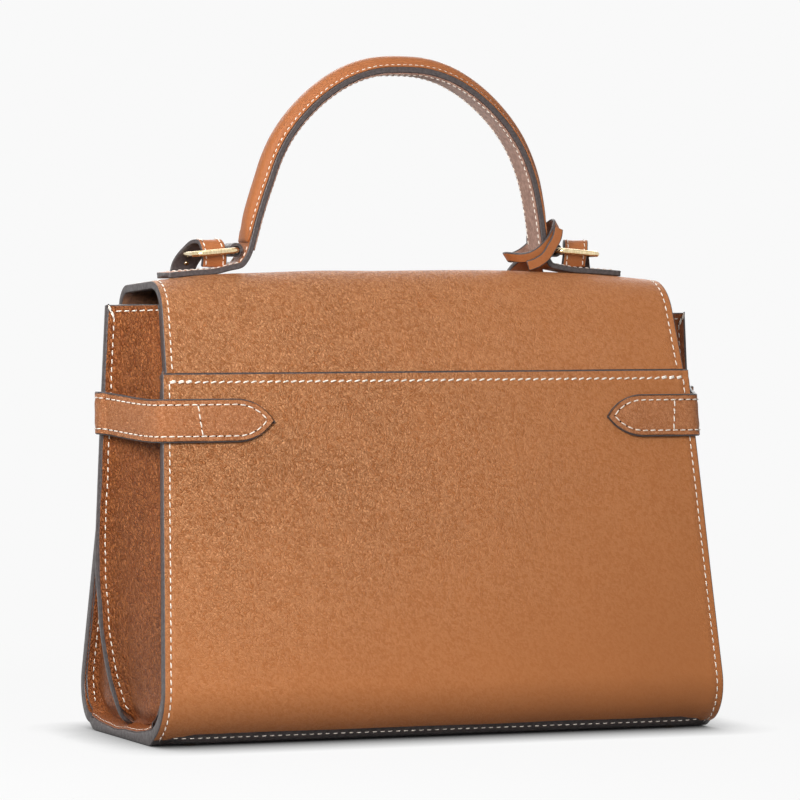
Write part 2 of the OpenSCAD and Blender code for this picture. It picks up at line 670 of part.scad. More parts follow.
// Each ring dips a little from its roll towards its far bar
ring_dip = 5;
module ring() {
    mid = ring_l / 2;
    side = ring_w / 2 - ring_bend;
    translate([roll_x, 0, roll_z]) rotate([0, ring_dip, 0]) {
        for (y = [-1, 1]) translate([ring_bend, y * ring_w / 2, 0]) rotate([0, 90, 0])
            cylinder(r = wire_d / 2, h = ring_l - 2 * ring_bend);
        for (x = [0, ring_l]) translate([x, 0, 0]) rotate([90, 0, 0])
            cylinder(r = wire_d / 2, h = ring_w - 2 * ring_bend, center = true);
        for (a = [0, 90, 180, 270])
            translate([mid + (a == 0 || a == 270 ? 1 : -1) * (mid - ring_bend), (a < 180 ? 1 : -1) * side, 0])
                rotate([0, 0, a]) rotate_extrude(angle = 90) translate([ring_bend, 0]) circle(r = wire_d / 2);
    }
}
module ring_left() {
    color(gold) on_foot(1) ring();
}
module ring_right() {
    color(gold) on_foot(-1) ring();
}

// Flat bands along a path: every ring has the band's four corners
function ribbon(path, across, w, t, closed = false) = let (n = len(path)) [for (i = [0:n - 1])
    let (before = closed ? path[(i + n - 1) % n] : path[max(i - 1, 0)],
        after = closed ? path[(i + 1) % n] : path[min(i + 1, n - 1)],
        a = across[min(i, len(across) - 1)],
        out = unit(cross(unit(after - before), a)))
    [path[i] + a * w / 2 - out * t / 2, path[i] - a * w / 2 - out * t / 2,
        path[i] - a * w / 2 + out * t / 2, path[i] + a * w / 2 + out * t / 2]];

// A band rises through each ring, turns over its front bar and comes down on the flap in front of the foot.
// Shares of the ring's length, of half its width and of the band's rise
tab_shares = [[0.49, 0.3, 0.14], [0.49, 0.42, 0.35], [0.52, 0.4, 0.7], [0.58, 0.1, 0.95], [0.68, -0.5, 1.06],
    [0.79, -1.1, 0.95], [0.89, -1.42, 0.65], [0.96, -1.45, 0.3], [0.99, -1.4, -0.27]];
tab_t = strap_t * 0.9;
tab_rise = ring_l * 0.6;
tab_foot_z = top_z(roll_x + ring_l / 2) + strip_t + 3 * sewn_gap;
tab_path = spline([for (p = tab_shares)
    [roll_x + p[0] * ring_l, p[1] * ring_w / 2, tab_foot_z + p[2] * tab_rise]], 2);
module ring_tab() {
    loft(ribbon(tab_path, [[1, 0, 0]], tab_w, tab_t));
}
module ring_tab_left() {
    color(tan_leather) on_foot(1) ring_tab();
}
module ring_tab_right() {
    color(tan_leather) on_foot(-1) ring_tab();
}
tab_rivet_r = wire_d * 0.7;
module tab_rivets() {
    low = tab_path[len(tab_path) - 4];
    color(gold) for (side = [-1, 1]) on_foot(side)
        translate([low[0], low[1] + tab_t * 0.72, low[2]]) rotate([-90, 0, 0])
            cylinder(r1 = tab_rivet_r, r2 = tab_rivet_r / 2, h = tab_t / 2);
}

// A lace is looped round the right foot of the handle, and the tag hangs from it
lace_t = lace_w * 0.26;
lace_z = foot_z + handle_rise * 0.17;
lace_c = [off_x(lace_z) - handle_half * 0.836, 0, lace_z];
lace_tilt = 33;
// The loop hangs lower on both faces of the handle than its ends would have it
lace_sag = lace_w * 1.2;
lace_a = handle_w;
lace_b = handle_w / 2 + lace_t * 1.25;
lace_n = 28;
lace_side = [-cos(lace_tilt), 0, sin(lace_tilt)];
lace_up = [sin(lace_tilt), 0, cos(lace_tilt)];
lace_loop = [for (i = [0:lace_n - 1]) let (a = 360 * i / lace_n)
    lace_c + lace_side * lace_a * cos(a) + [0, lace_b * sin(a), -lace_sag * pow(sin(a), 2)]];
hanger_top = lace_c + [-lace_w, -lace_b - lace_t, lace_w * 0.4];
tag_top = hanger_top - [0, 0, lace_w * 1.3];
// The tag lies down over the front edge of the flap's top
tag_fall = [-tag_l * 0.2, -tag_l * 0.85, top_z(0) - tag_top[2] - tag_l * 0.2];
tag_d = unit(tag_fall);
tag_across = unit(cross(tag_d, [0, 0, 1]));
// The end of the lace comes down outside the loop to the back edge of the flap's top, in widths of the lace
tail_shares = [[-2.1, -0.55, 1.05], [-1.75, -0.1, 0.2], [-1.1, 0.05, -0.8], [-0.5, 0.12, -1.6],
    [0.4, 0.12, -2.2], [1.3, 0.1, -2.5]];
tail_path = spline([for (p = tail_shares) lace_c + [0, lace_b + lace_t, 0] + p * lace_w], 3);
tail_across = [for (i = [0:len(tail_path) - 1]) unit(cross([0, 1, 0], line_dir(tail_path, i)))];
hanger_end = tag_top + [0, 0, lace_t * 0.9 + 2.5 * rest_gap];
tag_t = lace_t * 1.8;
module lace() {
    color(tan_leather) {
        loft(ribbon(lace_loop, [lace_up], lace_w, lace_t, true), true);
        loft(ribbon(tail_path, tail_across, lace_w, lace_t));
        loft(ribbon([hanger_top, hanger_end], [tag_across], lace_w, lace_t));
    }
}
// Half widths of the tag along its length, as shares of its length and width
tag_shares = [[0, 0.12], [0.2, 0.18], [0.5, 0.4], [0.8, 0.5], [0.93, 0.46], [1, 0.3]];
module tag() {
    n = unit(cross(tag_d, tag_across));
    length = norm(tag_fall);
    color(deep_leather) loft([for (s = tag_shares)
        let (c = tag_top + tag_d * s[0] * length, w = tag_across * s[1] * tag_w)
        [c + w - n * tag_t / 2, c - w - n * tag_t / 2, c - w + n * tag_t / 2, c + w + n * tag_t / 2]]);
}

back_panel();
front_panel();
base_panel();
back_board();
front_board();
base_board();
base_studs();
lining();
inner_pocket();
gusset_left_back();
gusset_left_front();
gusset_right_back();
gusset_right_front();
flap_yoke();
flap_leather();
flap_lining();
slot_plate();
lock_base();
lock_backplate();
lock_knob();
strap_left_back();
strap_left_front();
strap_right_back();
strap_right_front();
snap_posts();
snap_cap_left();
snap_cap_right();
handle_strip();
handle_grip();
handle_core();
handle_lining();
handle_anchors();
roll_left();
roll_right();
ring_left();
ring_right();
ring_tab_left();
ring_tab_right();
tab_rivets();
lace();
tag();
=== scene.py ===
import math

import bmesh
import bpy
import numpy as np
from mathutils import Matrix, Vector, noise

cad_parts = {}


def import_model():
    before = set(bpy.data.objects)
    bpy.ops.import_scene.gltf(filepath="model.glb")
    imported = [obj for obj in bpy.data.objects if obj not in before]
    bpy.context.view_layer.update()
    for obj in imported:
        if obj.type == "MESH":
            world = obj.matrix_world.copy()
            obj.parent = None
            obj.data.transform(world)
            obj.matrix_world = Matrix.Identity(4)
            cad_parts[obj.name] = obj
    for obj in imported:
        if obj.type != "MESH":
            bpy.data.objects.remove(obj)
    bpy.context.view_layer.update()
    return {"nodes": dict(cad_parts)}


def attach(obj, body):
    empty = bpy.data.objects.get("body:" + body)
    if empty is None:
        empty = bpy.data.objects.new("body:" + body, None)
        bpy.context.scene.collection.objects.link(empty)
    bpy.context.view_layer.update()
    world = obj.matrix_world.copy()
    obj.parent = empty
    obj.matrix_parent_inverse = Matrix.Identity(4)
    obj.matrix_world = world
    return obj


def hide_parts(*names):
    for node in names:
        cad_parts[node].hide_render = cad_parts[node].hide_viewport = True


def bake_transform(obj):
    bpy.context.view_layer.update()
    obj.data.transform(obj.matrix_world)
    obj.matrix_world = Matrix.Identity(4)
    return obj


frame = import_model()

# Sizes of the bag in millimetres, as in the construction
MM = 0.001
BASE_W, CROWN_W, BASE_D = 280, 259, 132.6
LEAN = math.radians(9.5)
RIM_Z, SEAM_Z = 201.8, 170.4
TURN_R, CORNER_R = 22, 9
LEATHER_T, BOARD_T, GUSSET_T = 2.4, 1.6, 2
STUD_H = 2
FLANGE_W, FIN_OUT, FIN_W = 8, 16.2, 6
FLAP_T = 3.6
YOKE_LEAN = math.radians(19)
HINGE_Z, CROWN_R, BROW_R = 199, 20.5, 10
TOP_FALL = math.radians(3)
DOME_H, DROP_Z, TONGUE_W = 5, 166, 50
STRAP_W, STRAP_T, STRAP_Z = 20, 2.2, 148.9
BACK_TIP_X, TIP_OFF, FRONT_TIP_X, POINT_L = 84, 4, 46, 18
LOCK_Z, KNOB_L, KNOB_W, KNOB_H = 142, 14, 6.4, 4.2
HANDLE_W, HANDLE_RISE, HANDLE_HALF, FOOT_L = 17, 93.9, 84, 30.4
STRIP_T, GRIP_T, HANDLE_OFF, FOOT_OFF, SUEDE_T = 2.8, 5.4, 1.5, 3, 0.75
RING_L, RING_W, WIRE_D, TAB_W = 21, 19, 2.8, 12
LACE_W, TAG_L, TAG_W = 5, 33, 19
REST_GAP, SEWN_GAP = 0.3, 0.05

# Sizes worked out from them
EDGE_Z = STUD_H + TURN_R / 5
CROWN_Z = RIM_Z + CROWN_R * 0.4
TURN_Z = STUD_H + TURN_R
TURN_Y = BASE_D / 2 - (TURN_Z - EDGE_Z) * math.tan(LEAN) - TURN_R / math.cos(LEAN)
TURN_END = -math.asin((TURN_Z - EDGE_Z) / TURN_R)
SHELL_T = LEATHER_T + BOARD_T
STACK_T = 5.1
FLAP_INSET = LEATHER_T * 0.6
BASE_STEP = LEATHER_T / 5

# Sewing: distance of a seam from its edge, pitch, and the size and slant of one stitch
SEAM_IN, PITCH = 3.2, 3.9
STITCH_L, THREAD_R = 3.0, 0.31
SLANT, BACK_SLANT = math.radians(4), math.radians(15)
HOLE_R = 0.44

# Side of the bag that a piece lies on: left has X above zero
SIDES = {"left": 1, "right": -1}


def srgb(r, g, b):
    """Linear colour of an 8-bit screen colour."""
    def linear(c):
        c /= 255
        return c / 12.92 if c <= 0.04045 else ((c + 0.055) / 1.055) ** 2.4
    return (linear(r), linear(g), linear(b), 1)


# Materials

class Nodes:
    """A material's node tree, with short ways to add and join nodes."""

    def __init__(self, name):
        self.material = bpy.data.materials.new(name)
        self.material.use_nodes = True
        self.tree = self.material.node_tree
        self.shader = self.tree.nodes["Principled BSDF"]

    def add(self, kind, settings=None, **inputs):
        made = self.tree.nodes.new("ShaderNode" + kind)
        for key, value in (settings or {}).items():
            setattr(made, key, value)
        for key, value in inputs.items():
            self.join(value, made.inputs[key.replace("_", " ")])
        return made

    def join(self, value, socket):
        if isinstance(value, bpy.types.NodeSocket):
            self.tree.links.new(value, socket)
        else:
            socket.default_value = value

    def math(self, operation, a, b=0.0, clamp=False):
        made = self.add("Math", {"operation": operation, "use_clamp": clamp})
        self.join(a, made.inputs[0])
        self.join(b, made.inputs[1])
        return made.outputs[0]

    def spread(self, value, low, high, to_low, to_high):
        """A value from low to high turned into one from to_low to to_high, with soft ends."""
        made = self.add("MapRange", {"interpolation_type": "SMOOTHSTEP"}, Value=value)
        for key, number in zip(("From Min", "From Max", "To Min", "To Max"), (low, high, to_low, to_high)):
            made.inputs[key].default_value = number
        return made.outputs[0]

    def mix(self, share, a, b, blend="MIX"):
        made = self.add("Mix", {"data_type": "RGBA", "blend_type": blend})
        self.join(share, made.inputs[0])
        self.join(a, made.inputs[6])
        self.join(b, made.inputs[7])
        return made.outputs[2]

    def places(self, stretch=(1, 1, 1), turn=(0, 0, 0)):
        coords = self.add("TexCoord").outputs["Object"]
        return self.add("Mapping", Vector=coords, Scale=stretch, Rotation=turn).outputs[0]

    def noise(self, vector, size, detail=2.0):
        """Noise with features of a size in millimetres."""
        made = self.add("TexNoise", Vector=vector, Scale=1 / (size * MM), Detail=detail)
        return made.outputs["Fac"]

    def bump(self, height, depth):
        """Relief of a depth in millimetres."""
        made = self.add("Bump", Height=height, Distance=depth * MM, Strength=1.0)
        self.join(made.outputs[0], self.shader.inputs["Normal"])

    def finish(self, **sockets):
        for key, value in sockets.items():
            self.join(value, self.shader.inputs[key.replace("_", " ")])
        return self.material


def turned_places(n, turn, stretch):
    """Object coordinates turned first and stretched then, so that the grain runs askew."""
    coords = n.add("TexCoord").outputs["Object"]
    mapping = n.add("Mapping", {"vector_type": "TEXTURE"}, Vector=coords, Rotation=turn, Scale=stretch)
    return mapping.outputs[0]


def pebbles(n, vector, size):
    """Height of pebbled grain, 0 in the creases and 1 on the pebbles, and a shade for each pebble."""
    edge = n.add("TexVoronoi", {"feature": "DISTANCE_TO_EDGE"}, Vector=vector, Scale=1 / (size * MM))
    cell = n.add("TexVoronoi", {"feature": "F1"}, Vector=vector, Scale=1 / (size * MM))
    shade = n.add("SeparateColor", Color=cell.outputs["Color"]).outputs[0]
    return n.spread(edge.outputs["Distance"], 0.0, 0.3, 0.0, 1.0), shade


def leather(name, colours, grain, depth, smooth_z=(4, 140), turn=(0, 0.8, 0), stretch=(0.8, 1, 1.35),
            even=0.0, contrast=1.0):
    """Grained leather in a colour, a darker one for its creases that is partly dye and partly painted
    shade, and a lighter one painted as highlights on some pebbles.

    The grain flattens out between the heights smooth_z and towards the right, unless even is 1. The painted
    highlights and crease shade fade with it, so they are strongest at the upper left, towards the key lamp."""
    colour, dark, pebble_highlight = (srgb(*c) for c in colours)
    n = Nodes(name)
    at = turned_places(n, turn, stretch)
    bend = n.add("TexNoise", Vector=at, Scale=1 / (grain * 2.4 * MM), Detail=1.0)
    shift = n.add("VectorMath", {"operation": "MULTIPLY_ADD"})
    n.join(bend.outputs["Color"], shift.inputs[0])
    shift.inputs[1].default_value = (grain * MM * 1.6,) * 3
    n.join(at, shift.inputs[2])
    big, shade = pebbles(n, shift.outputs[0], grain)
    small, tint = pebbles(n, shift.outputs[0], grain * 0.55)
    fine = n.noise(at, 0.2, 3.0)
    patches = n.noise(at, 45, 2.0)
    height = n.math("ADD", n.math("MULTIPLY", big, 0.7), n.math("MULTIPLY", small, 0.3))
    flat = n.spread(n.noise(at, 26, 2.0), 0.36, 0.64, 0.85, 1.0)
    place = n.add("SeparateXYZ", Vector=n.add("TexCoord").outputs["Object"])
    # The grain's relief, its painted highlights and its painted crease shade all fade towards the bottom
    # and towards the right, away from the key lamp
    low = n.spread(place.outputs[2], smooth_z[0] * MM, smooth_z[1] * MM, 0.18 + 0.82 * even, 1.0)
    right = n.spread(place.outputs[0], -0.15, 0.11, 0.22 + 0.78 * even, 1.0)
    keep = n.math("MULTIPLY", n.math("MULTIPLY", flat, low), right)
    relief = n.math("ADD", n.math("MULTIPLY", height, keep), n.math("MULTIPLY", fine, 0.1))
    n.bump(relief, depth)
    # Darker creases: partly the dye and partly painted shade in the creases
    crease = n.math("MULTIPLY", n.math("SUBTRACT", 1.0, height), n.math("MULTIPLY", keep, 0.6 * contrast))
    spots = n.math("ADD", n.math("MULTIPLY", shade, 0.6), n.math("MULTIPLY", tint, 0.4))
    # Painted highlights on some pebbles, chosen at random
    pale = n.math("MULTIPLY", n.spread(spots, 0.1, 0.75, 0.0, contrast), keep)
    tone = n.mix(n.spread(patches, 0.3, 0.7, 0.0, 0.06), colour, dark)
    tone = n.mix(pale, tone, pebble_highlight)
    tone = n.mix(crease, tone, dark)
    rough = n.spread(n.noise(at, 1.1, 3.0), 0.3, 0.7, 0.4, 0.52)
    return n.finish(Base_Color=tone, Roughness=rough, IOR=1.45, Specular_IOR_Level=0.3)


def painted_edge(name):
    n = Nodes(name)
    at = n.places()
    tone = n.mix(n.spread(n.noise(at, 1.4, 4.0), 0.3, 0.7, 0.0, 1.0), srgb(58, 50, 49), srgb(80, 71, 70))
    n.bump(n.noise(at, 0.9, 4.0), 0.12)
    return n.finish(Base_Color=tone, Roughness=n.spread(n.noise(at, 2.5), 0.3, 0.7, 0.36, 0.5))


def suede(name, colour, dark, nap=0.35):
    n = Nodes(name)
    at = n.places()
    coarse = n.math("MULTIPLY", n.noise(at, 2.2, 4.0), 0.6)
    mottle = n.math("ADD", coarse, n.math("MULTIPLY", n.noise(at, nap, 3.0), 0.4))
    tone = n.mix(n.spread(mottle, 0.36, 0.64, 0.0, 1.0), dark, colour)
    n.bump(n.noise(at, nap, 4.0), 0.14)
    return n.finish(Base_Color=tone, Roughness=n.spread(mottle, 0.3, 0.7, 0.86, 0.98),
                    Sheen_Weight=0.25, Sheen_Roughness=0.4)


def fibre_board(name):
    n = Nodes(name)
    at = n.places()
    fibres = n.spread(n.noise(at, 0.8, 5.0), 0.35, 0.65, 0.0, 1.0)
    tone = n.mix(fibres, srgb(120, 112, 100), srgb(158, 148, 132))
    n.bump(n.noise(at, 0.5, 4.0), 0.1)
    return n.finish(Base_Color=tone, Roughness=n.spread(n.noise(at, 3), 0.3, 0.7, 0.8, 0.95))


def gold(name, dark=srgb(214, 190, 146), pale=srgb(236, 217, 178)):
    n = Nodes(name)
    at = n.places(stretch=(1, 1, 0.3))
    wear = n.noise(at, 0.7, 4.0)
    tone = n.mix(n.spread(wear, 0.3, 0.7, 0.0, 1.0), dark, pale)
    n.bump(wear, 0.002)
    rough = n.spread(n.noise(at, 1.5, 3.0), 0.3, 0.7, 0.08, 0.16)
    return n.finish(Base_Color=tone, Metallic=1.0, Roughness=rough)


def saddle_thread(name):
    n = Nodes(name)
    at = n.places()
    strands = n.spread(n.noise(at, 0.5, 3.0), 0.3, 0.7, 0.0, 1.0)
    tone = n.mix(strands, srgb(222, 208, 192), srgb(248, 242, 232))
    n.bump(n.noise(at, 0.2, 2.0), 0.05)
    return n.finish(Base_Color=tone, Roughness=n.spread(n.noise(at, 0.6), 0.3, 0.7, 0.6, 0.8))


# Near-black colour of a needle hole: painted shade in the hole
def needle_hole_shade(name):
    n = Nodes(name)
    at = n.places()
    tone = n.mix(n.noise(at, 0.5), srgb(24, 13, 9), srgb(44, 25, 17))
    return n.finish(Base_Color=tone, Roughness=n.spread(n.noise(at, 0.7), 0.3, 0.7, 0.85, 0.98))


# Each leather: its colour, a darker one for the creases that is partly dye and partly painted shade, and a
# lighter one for painted highlights on pebbles
TAN = leather("tan_grain", ((172, 106, 58), (126, 68, 28), (216, 154, 106)), 1.12, 0.6)
STRAP_TAN = leather("strap_grain", ((172, 107, 62), (130, 70, 32), (204, 142, 98)), 1.05, 0.4, even=0.6)
SMOOTH_TAN = leather("smooth_tan", ((170, 102, 57), (136, 74, 38), (184, 120, 76)), 0.8, 0.08, even=1.0,
                     contrast=0.35)
# The gussets' leather: a darker, redder copy of the tan, painted for the shade that the turned-in sides lie
# in
SHADED_TAN = leather("gusset_shaded_grain", ((140, 73, 29), (76, 36, 14), (184, 112, 62)), 1.4, 0.8, smooth_z=(4, 26),
               turn=(0, 0.35, 0), stretch=(0.8, 0.8, 1.7), even=0.3)
# Gold of the studs under the base, painted dark for the shade under the bag
SHADED_BRASS = gold("shaded_brass", srgb(104, 84, 54), srgb(132, 108, 72))
EDGE = painted_edge("painted_edge")
NAP = suede("handle_suede", srgb(178, 143, 126), srgb(138, 103, 88))
LINING = suede("lining_suede", srgb(122, 82, 56), srgb(88, 56, 38), 0.5)
BOARD = fibre_board("fibre_board")
GOLD = gold("pale_gold")
THREAD = saddle_thread("saddle_thread")
HOLE_SHADE = needle_hole_shade("needle_hole_shade")


# Meshes

def make(name, verts, faces, materials, which=None):
    """An object from points in millimetres, with its normals turned outwards."""
    mesh = bpy.data.meshes.new(name)
    mesh.from_pydata((np.asarray(verts, float) * MM).tolist(), [], faces)
    for material in materials:
        mesh.materials.append(material)
    if which is not None:
        mesh.polygons.foreach_set("material_index", which)
    bm = bmesh.new()
    bm.from_mesh(mesh)
    bmesh.ops.recalc_face_normals(bm, faces=bm.faces)
    bm.to_mesh(mesh)
    bm.free()
    mesh.polygons.foreach_set("use_smooth", [True] * len(mesh.polygons))
    made = bpy.data.objects.new(name, mesh)
    bpy.context.scene.collection.objects.link(made)
    return made


def unit(v):
    v = np.asarray(v, float)
    return v / np.maximum(np.linalg.norm(v, axis=-1, keepdims=True), 1e-9)


def ease(t):
    t = min(max(t, 0), 1)
    return t * t * (3 - 2 * t)


def rise(value, start, width):
    """0 up to a start and 1 from a width beyond it, with soft ends."""
    return ease((value - start) / width)


def arc(centre, r, a0, a1, n):
    """Points on an arc, with its angles in degrees."""
    turn = [math.radians(a0 + (a1 - a0) * i / n) for i in range(n + 1)]
    return [(centre[0] + r * math.cos(a), centre[1] + r * math.sin(a)) for a in turn]


def spline(points, n):
    """Smooth curve through points, with n steps between two."""
    p = np.asarray(points, float)
    before = np.vstack([p[:1], p[:-1]])
    after = np.vstack([p[2:], p[-1:], p[-1:]])
    out = []
    for i in range(len(p) - 1):
        a, b, c, d = before[i], p[i], p[i + 1], after[i]
        for k in range(n):
            t = k / n
            out.append(0.5 * (2 * b + (c - a) * t + (2 * a - 5 * b + 4 * c - d) * t * t
                              + (3 * b - a - 3 * c + d) * t ** 3))
    return np.array(out + [p[-1]])


def rounded(points, times):
    """A line with its corners cut softly, its ends kept."""
    p = np.asarray(points, float)
    for _ in range(times):
        near, far = p[:-1] * 0.75 + p[1:] * 0.25, p[:-1] * 0.25 + p[1:] * 0.75
        p = np.vstack([p[:1], np.stack([near, far], 1).reshape(-1, p.shape[1])[1:-1], p[-1:]])
    return p


def lengths(points):
    return np.concatenate([[0], np.cumsum(np.linalg.norm(np.diff(points, axis=0), axis=1))])


def between(where, at, rows):
    """Rows of an array read off between their places."""
    return np.stack([np.interp(where, at, column) for column in rows.T], -1)


def at_lengths(points, where):
    """Points of a line at one or more lengths along it."""
    return between(where, lengths(points), points)


def evenly(points, step):
    total = lengths(points)[-1]
    return at_lengths(points, np.linspace(0, total, max(2, round(total / step) + 1)))


def graded(length, fine, coarse, margin):
    """Places from 0 to a length, close together near both ends."""
    steps = [0.0]
    while steps[-1] < length / 2:
        beyond = max(0.0, steps[-1] - margin)
        steps.append(steps[-1] + min(coarse, fine + beyond * 0.35))
    half = [s * length / 2 / steps[-1] for s in steps]
    return half + [length - s for s in reversed(half[:-1])]


def soft(p, size, depth):
    """Unevenness of hand-worked leather at a point."""
    return depth * noise.noise(Vector([float(c) / size for c in p]))


def pucker(inset, along, seam_in=SEAM_IN):
    """Relief beside a seam: the thread draws the leather down and it swells between."""
    groove = math.exp(-((inset - seam_in) / 0.85) ** 2)
    swell = math.exp(-((inset - seam_in - 2.6) / 1.9) ** 2)
    wave = math.cos(2 * math.pi * along / PITCH)
    return -groove * (0.2 + 0.07 * wave) + swell * (0.1 - 0.05 * wave)


def normals(p, inside):
    """Unit normals of a grid of points, pointing away from the point inside."""
    n = unit(np.cross(np.gradient(p, axis=0), np.gradient(p, axis=1)))
    return n if np.sum(n * (p - np.asarray(inside, float))) > 0 else -n


def sheet(name, p, thick, materials, inside=(0, 0, 100), rim=0.7, crown=0.25, edge_paint_and_shade_rows=0):
    """A sheet of leather whose outer face is a grid of points. Its rim is rounded and painted.

    The materials are those of the outer face, the inner face and the rim. The last argument gives how many
    more rows at the grid's first and last row take the rim's dark colour too; on the base they are partly
    edge paint and partly painted shade where the leather turns under. Returns the object, the grid and its
    normals."""
    steps = 3
    n = normals(p, inside)
    rows, columns = p.shape[:2]
    t = np.broadcast_to(np.asarray(thick, float), (rows, columns))[..., None]
    loop = [(0, j) for j in range(columns)] + [(i, columns - 1) for i in range(1, rows)]
    loop += [(rows - 1, j) for j in range(columns - 2, -1, -1)] + [(i, 0) for i in range(rows - 2, 0, -1)]
    ii, jj = np.array(loop).T
    edge, up, deep = p[ii, jj], n[ii, jj], t[ii, jj]
    nearby = p[np.clip(ii, 1, rows - 2), np.clip(jj, 1, columns - 2)]
    out = unit(np.cross(np.roll(edge, -1, 0) - np.roll(edge, 1, 0), up))
    out *= np.where(np.sum(out * (edge - nearby), 1) < 0, -1, 1)[:, None]
    outer, inner = p.copy(), p - n * t
    outer[ii, jj] -= out * rim
    inner[ii, jj] -= out * rim
    around = []
    for k in list(range(1, steps + 1)) + [-s for s in range(steps, 0, -1)]:
        a = math.pi / 2 * abs(k) / steps
        down = rim * (1 - math.cos(a)) if k > 0 else deep - rim * (1 - math.cos(a))
        reach = rim * (math.sin(a) - 1) + crown * np.sin(math.pi * down / deep)
        around.append(edge + out * reach - up * down)
    count = rows * columns
    verts = np.vstack([outer.reshape(-1, 3), inner.reshape(-1, 3)] + around)
    grid = np.arange(count).reshape(rows, columns)
    quads = np.stack([grid[:-1, :-1], grid[1:, :-1], grid[1:, 1:], grid[:-1, 1:]], -1).reshape(-1, 4)
    rings = [grid[ii, jj]] + [2 * count + s * len(loop) + np.arange(len(loop)) for s in range(2 * steps)]
    rings.append(count + grid[ii, jj])
    rim_faces = np.vstack([np.stack([a, np.roll(a, -1), np.roll(b, -1), b], -1)
                           for a, b in zip(rings, rings[1:])])
    faces = np.vstack([quads, quads[:, ::-1] + count, rim_faces])
    row_of = np.repeat(np.arange(rows - 1), columns - 1)
    # Rows that take the rim's dark colour: edge paint, and on the base also painted shade
    painted = (row_of < edge_paint_and_shade_rows) | (row_of >= rows - 1 - edge_paint_and_shade_rows)
    which = np.concatenate([np.where(painted, 2, 0), np.ones(len(quads), int), np.full(len(rim_faces), 2)])
    return make(name, verts, faces.tolist(), materials, which.tolist()), p, n


def loft(name, rings, materials, which=None, closed=False):
    """A skin through rings of points. which gives the material of each edge of a ring."""
    rings = np.asarray(rings, float)
    m, n = rings.shape[:2]
    ids = np.arange(m * n).reshape(m, n)
    faces, kinds = [], []
    for i in range(m if closed else m - 1):
        a, b = ids[i], ids[(i + 1) % m]
        for j in range(n):
            k = (j + 1) % n
            faces.append([int(a[j]), int(a[k]), int(b[k]), int(b[j])])
            kinds.append(which[j] if which else 0)
    if not closed:
        faces += [ids[0].tolist(), ids[-1].tolist()]
        kinds += [max(which) if which else 0] * 2
    return make(name, rings.reshape(-1, 3), faces, materials, kinds)


def band_section(w, t, r, groove=0.0):
    """Section of a band: points across and out, from under the band, and the material of each edge."""
    points, kinds = [], []
    flat = 4
    for s, side_from, under_from in ((1, 0, -90), (-1, 90, 180)):
        side = arc((s * (w / 2 - r), t - r), r, side_from, side_from + 90, 3)
        under = arc((s * (w / 2 - r), r), r, under_from, under_from + 90, 3)
        middle = [(s * (w / 2 - groove), t / 2)]
        points += under + middle + side if s > 0 else side + middle + under
        kinds += [2] * 8
        top = np.linspace(1, -1, flat + 2)[1:-1] * (w / 2 - r) * s
        kinds += [0 if s > 0 else 1] * (flat + 1)
        points += [(float(x), t if s > 0 else 0.0) for x in top]
    return points, kinds


def ribbon(name, path, across, w, t, materials, closed=False, r=0.5, groove=0.0, turn=1):
    """A band along a path. across gives its direction of width, and turn the side that faces out."""
    path = np.asarray(path, float)
    across = np.broadcast_to(unit(across), path.shape)
    if closed:
        ahead = np.roll(path, -1, 0) - np.roll(path, 1, 0)
    else:
        ahead = np.gradient(path, axis=0)
    across = unit(across - unit(ahead) * np.sum(across * unit(ahead), 1, keepdims=True))
    out = unit(np.cross(ahead, across)) * turn
    points, kinds = band_section(w, t, min(r, t / 2 - 0.01), groove)
    rings = [[c + a * x + o * (h - t / 2) for x, h in points] for c, a, o in zip(path, across, out)]
    return loft(name, rings, materials, kinds, closed), path + out * t / 2, out, across


# Sewing

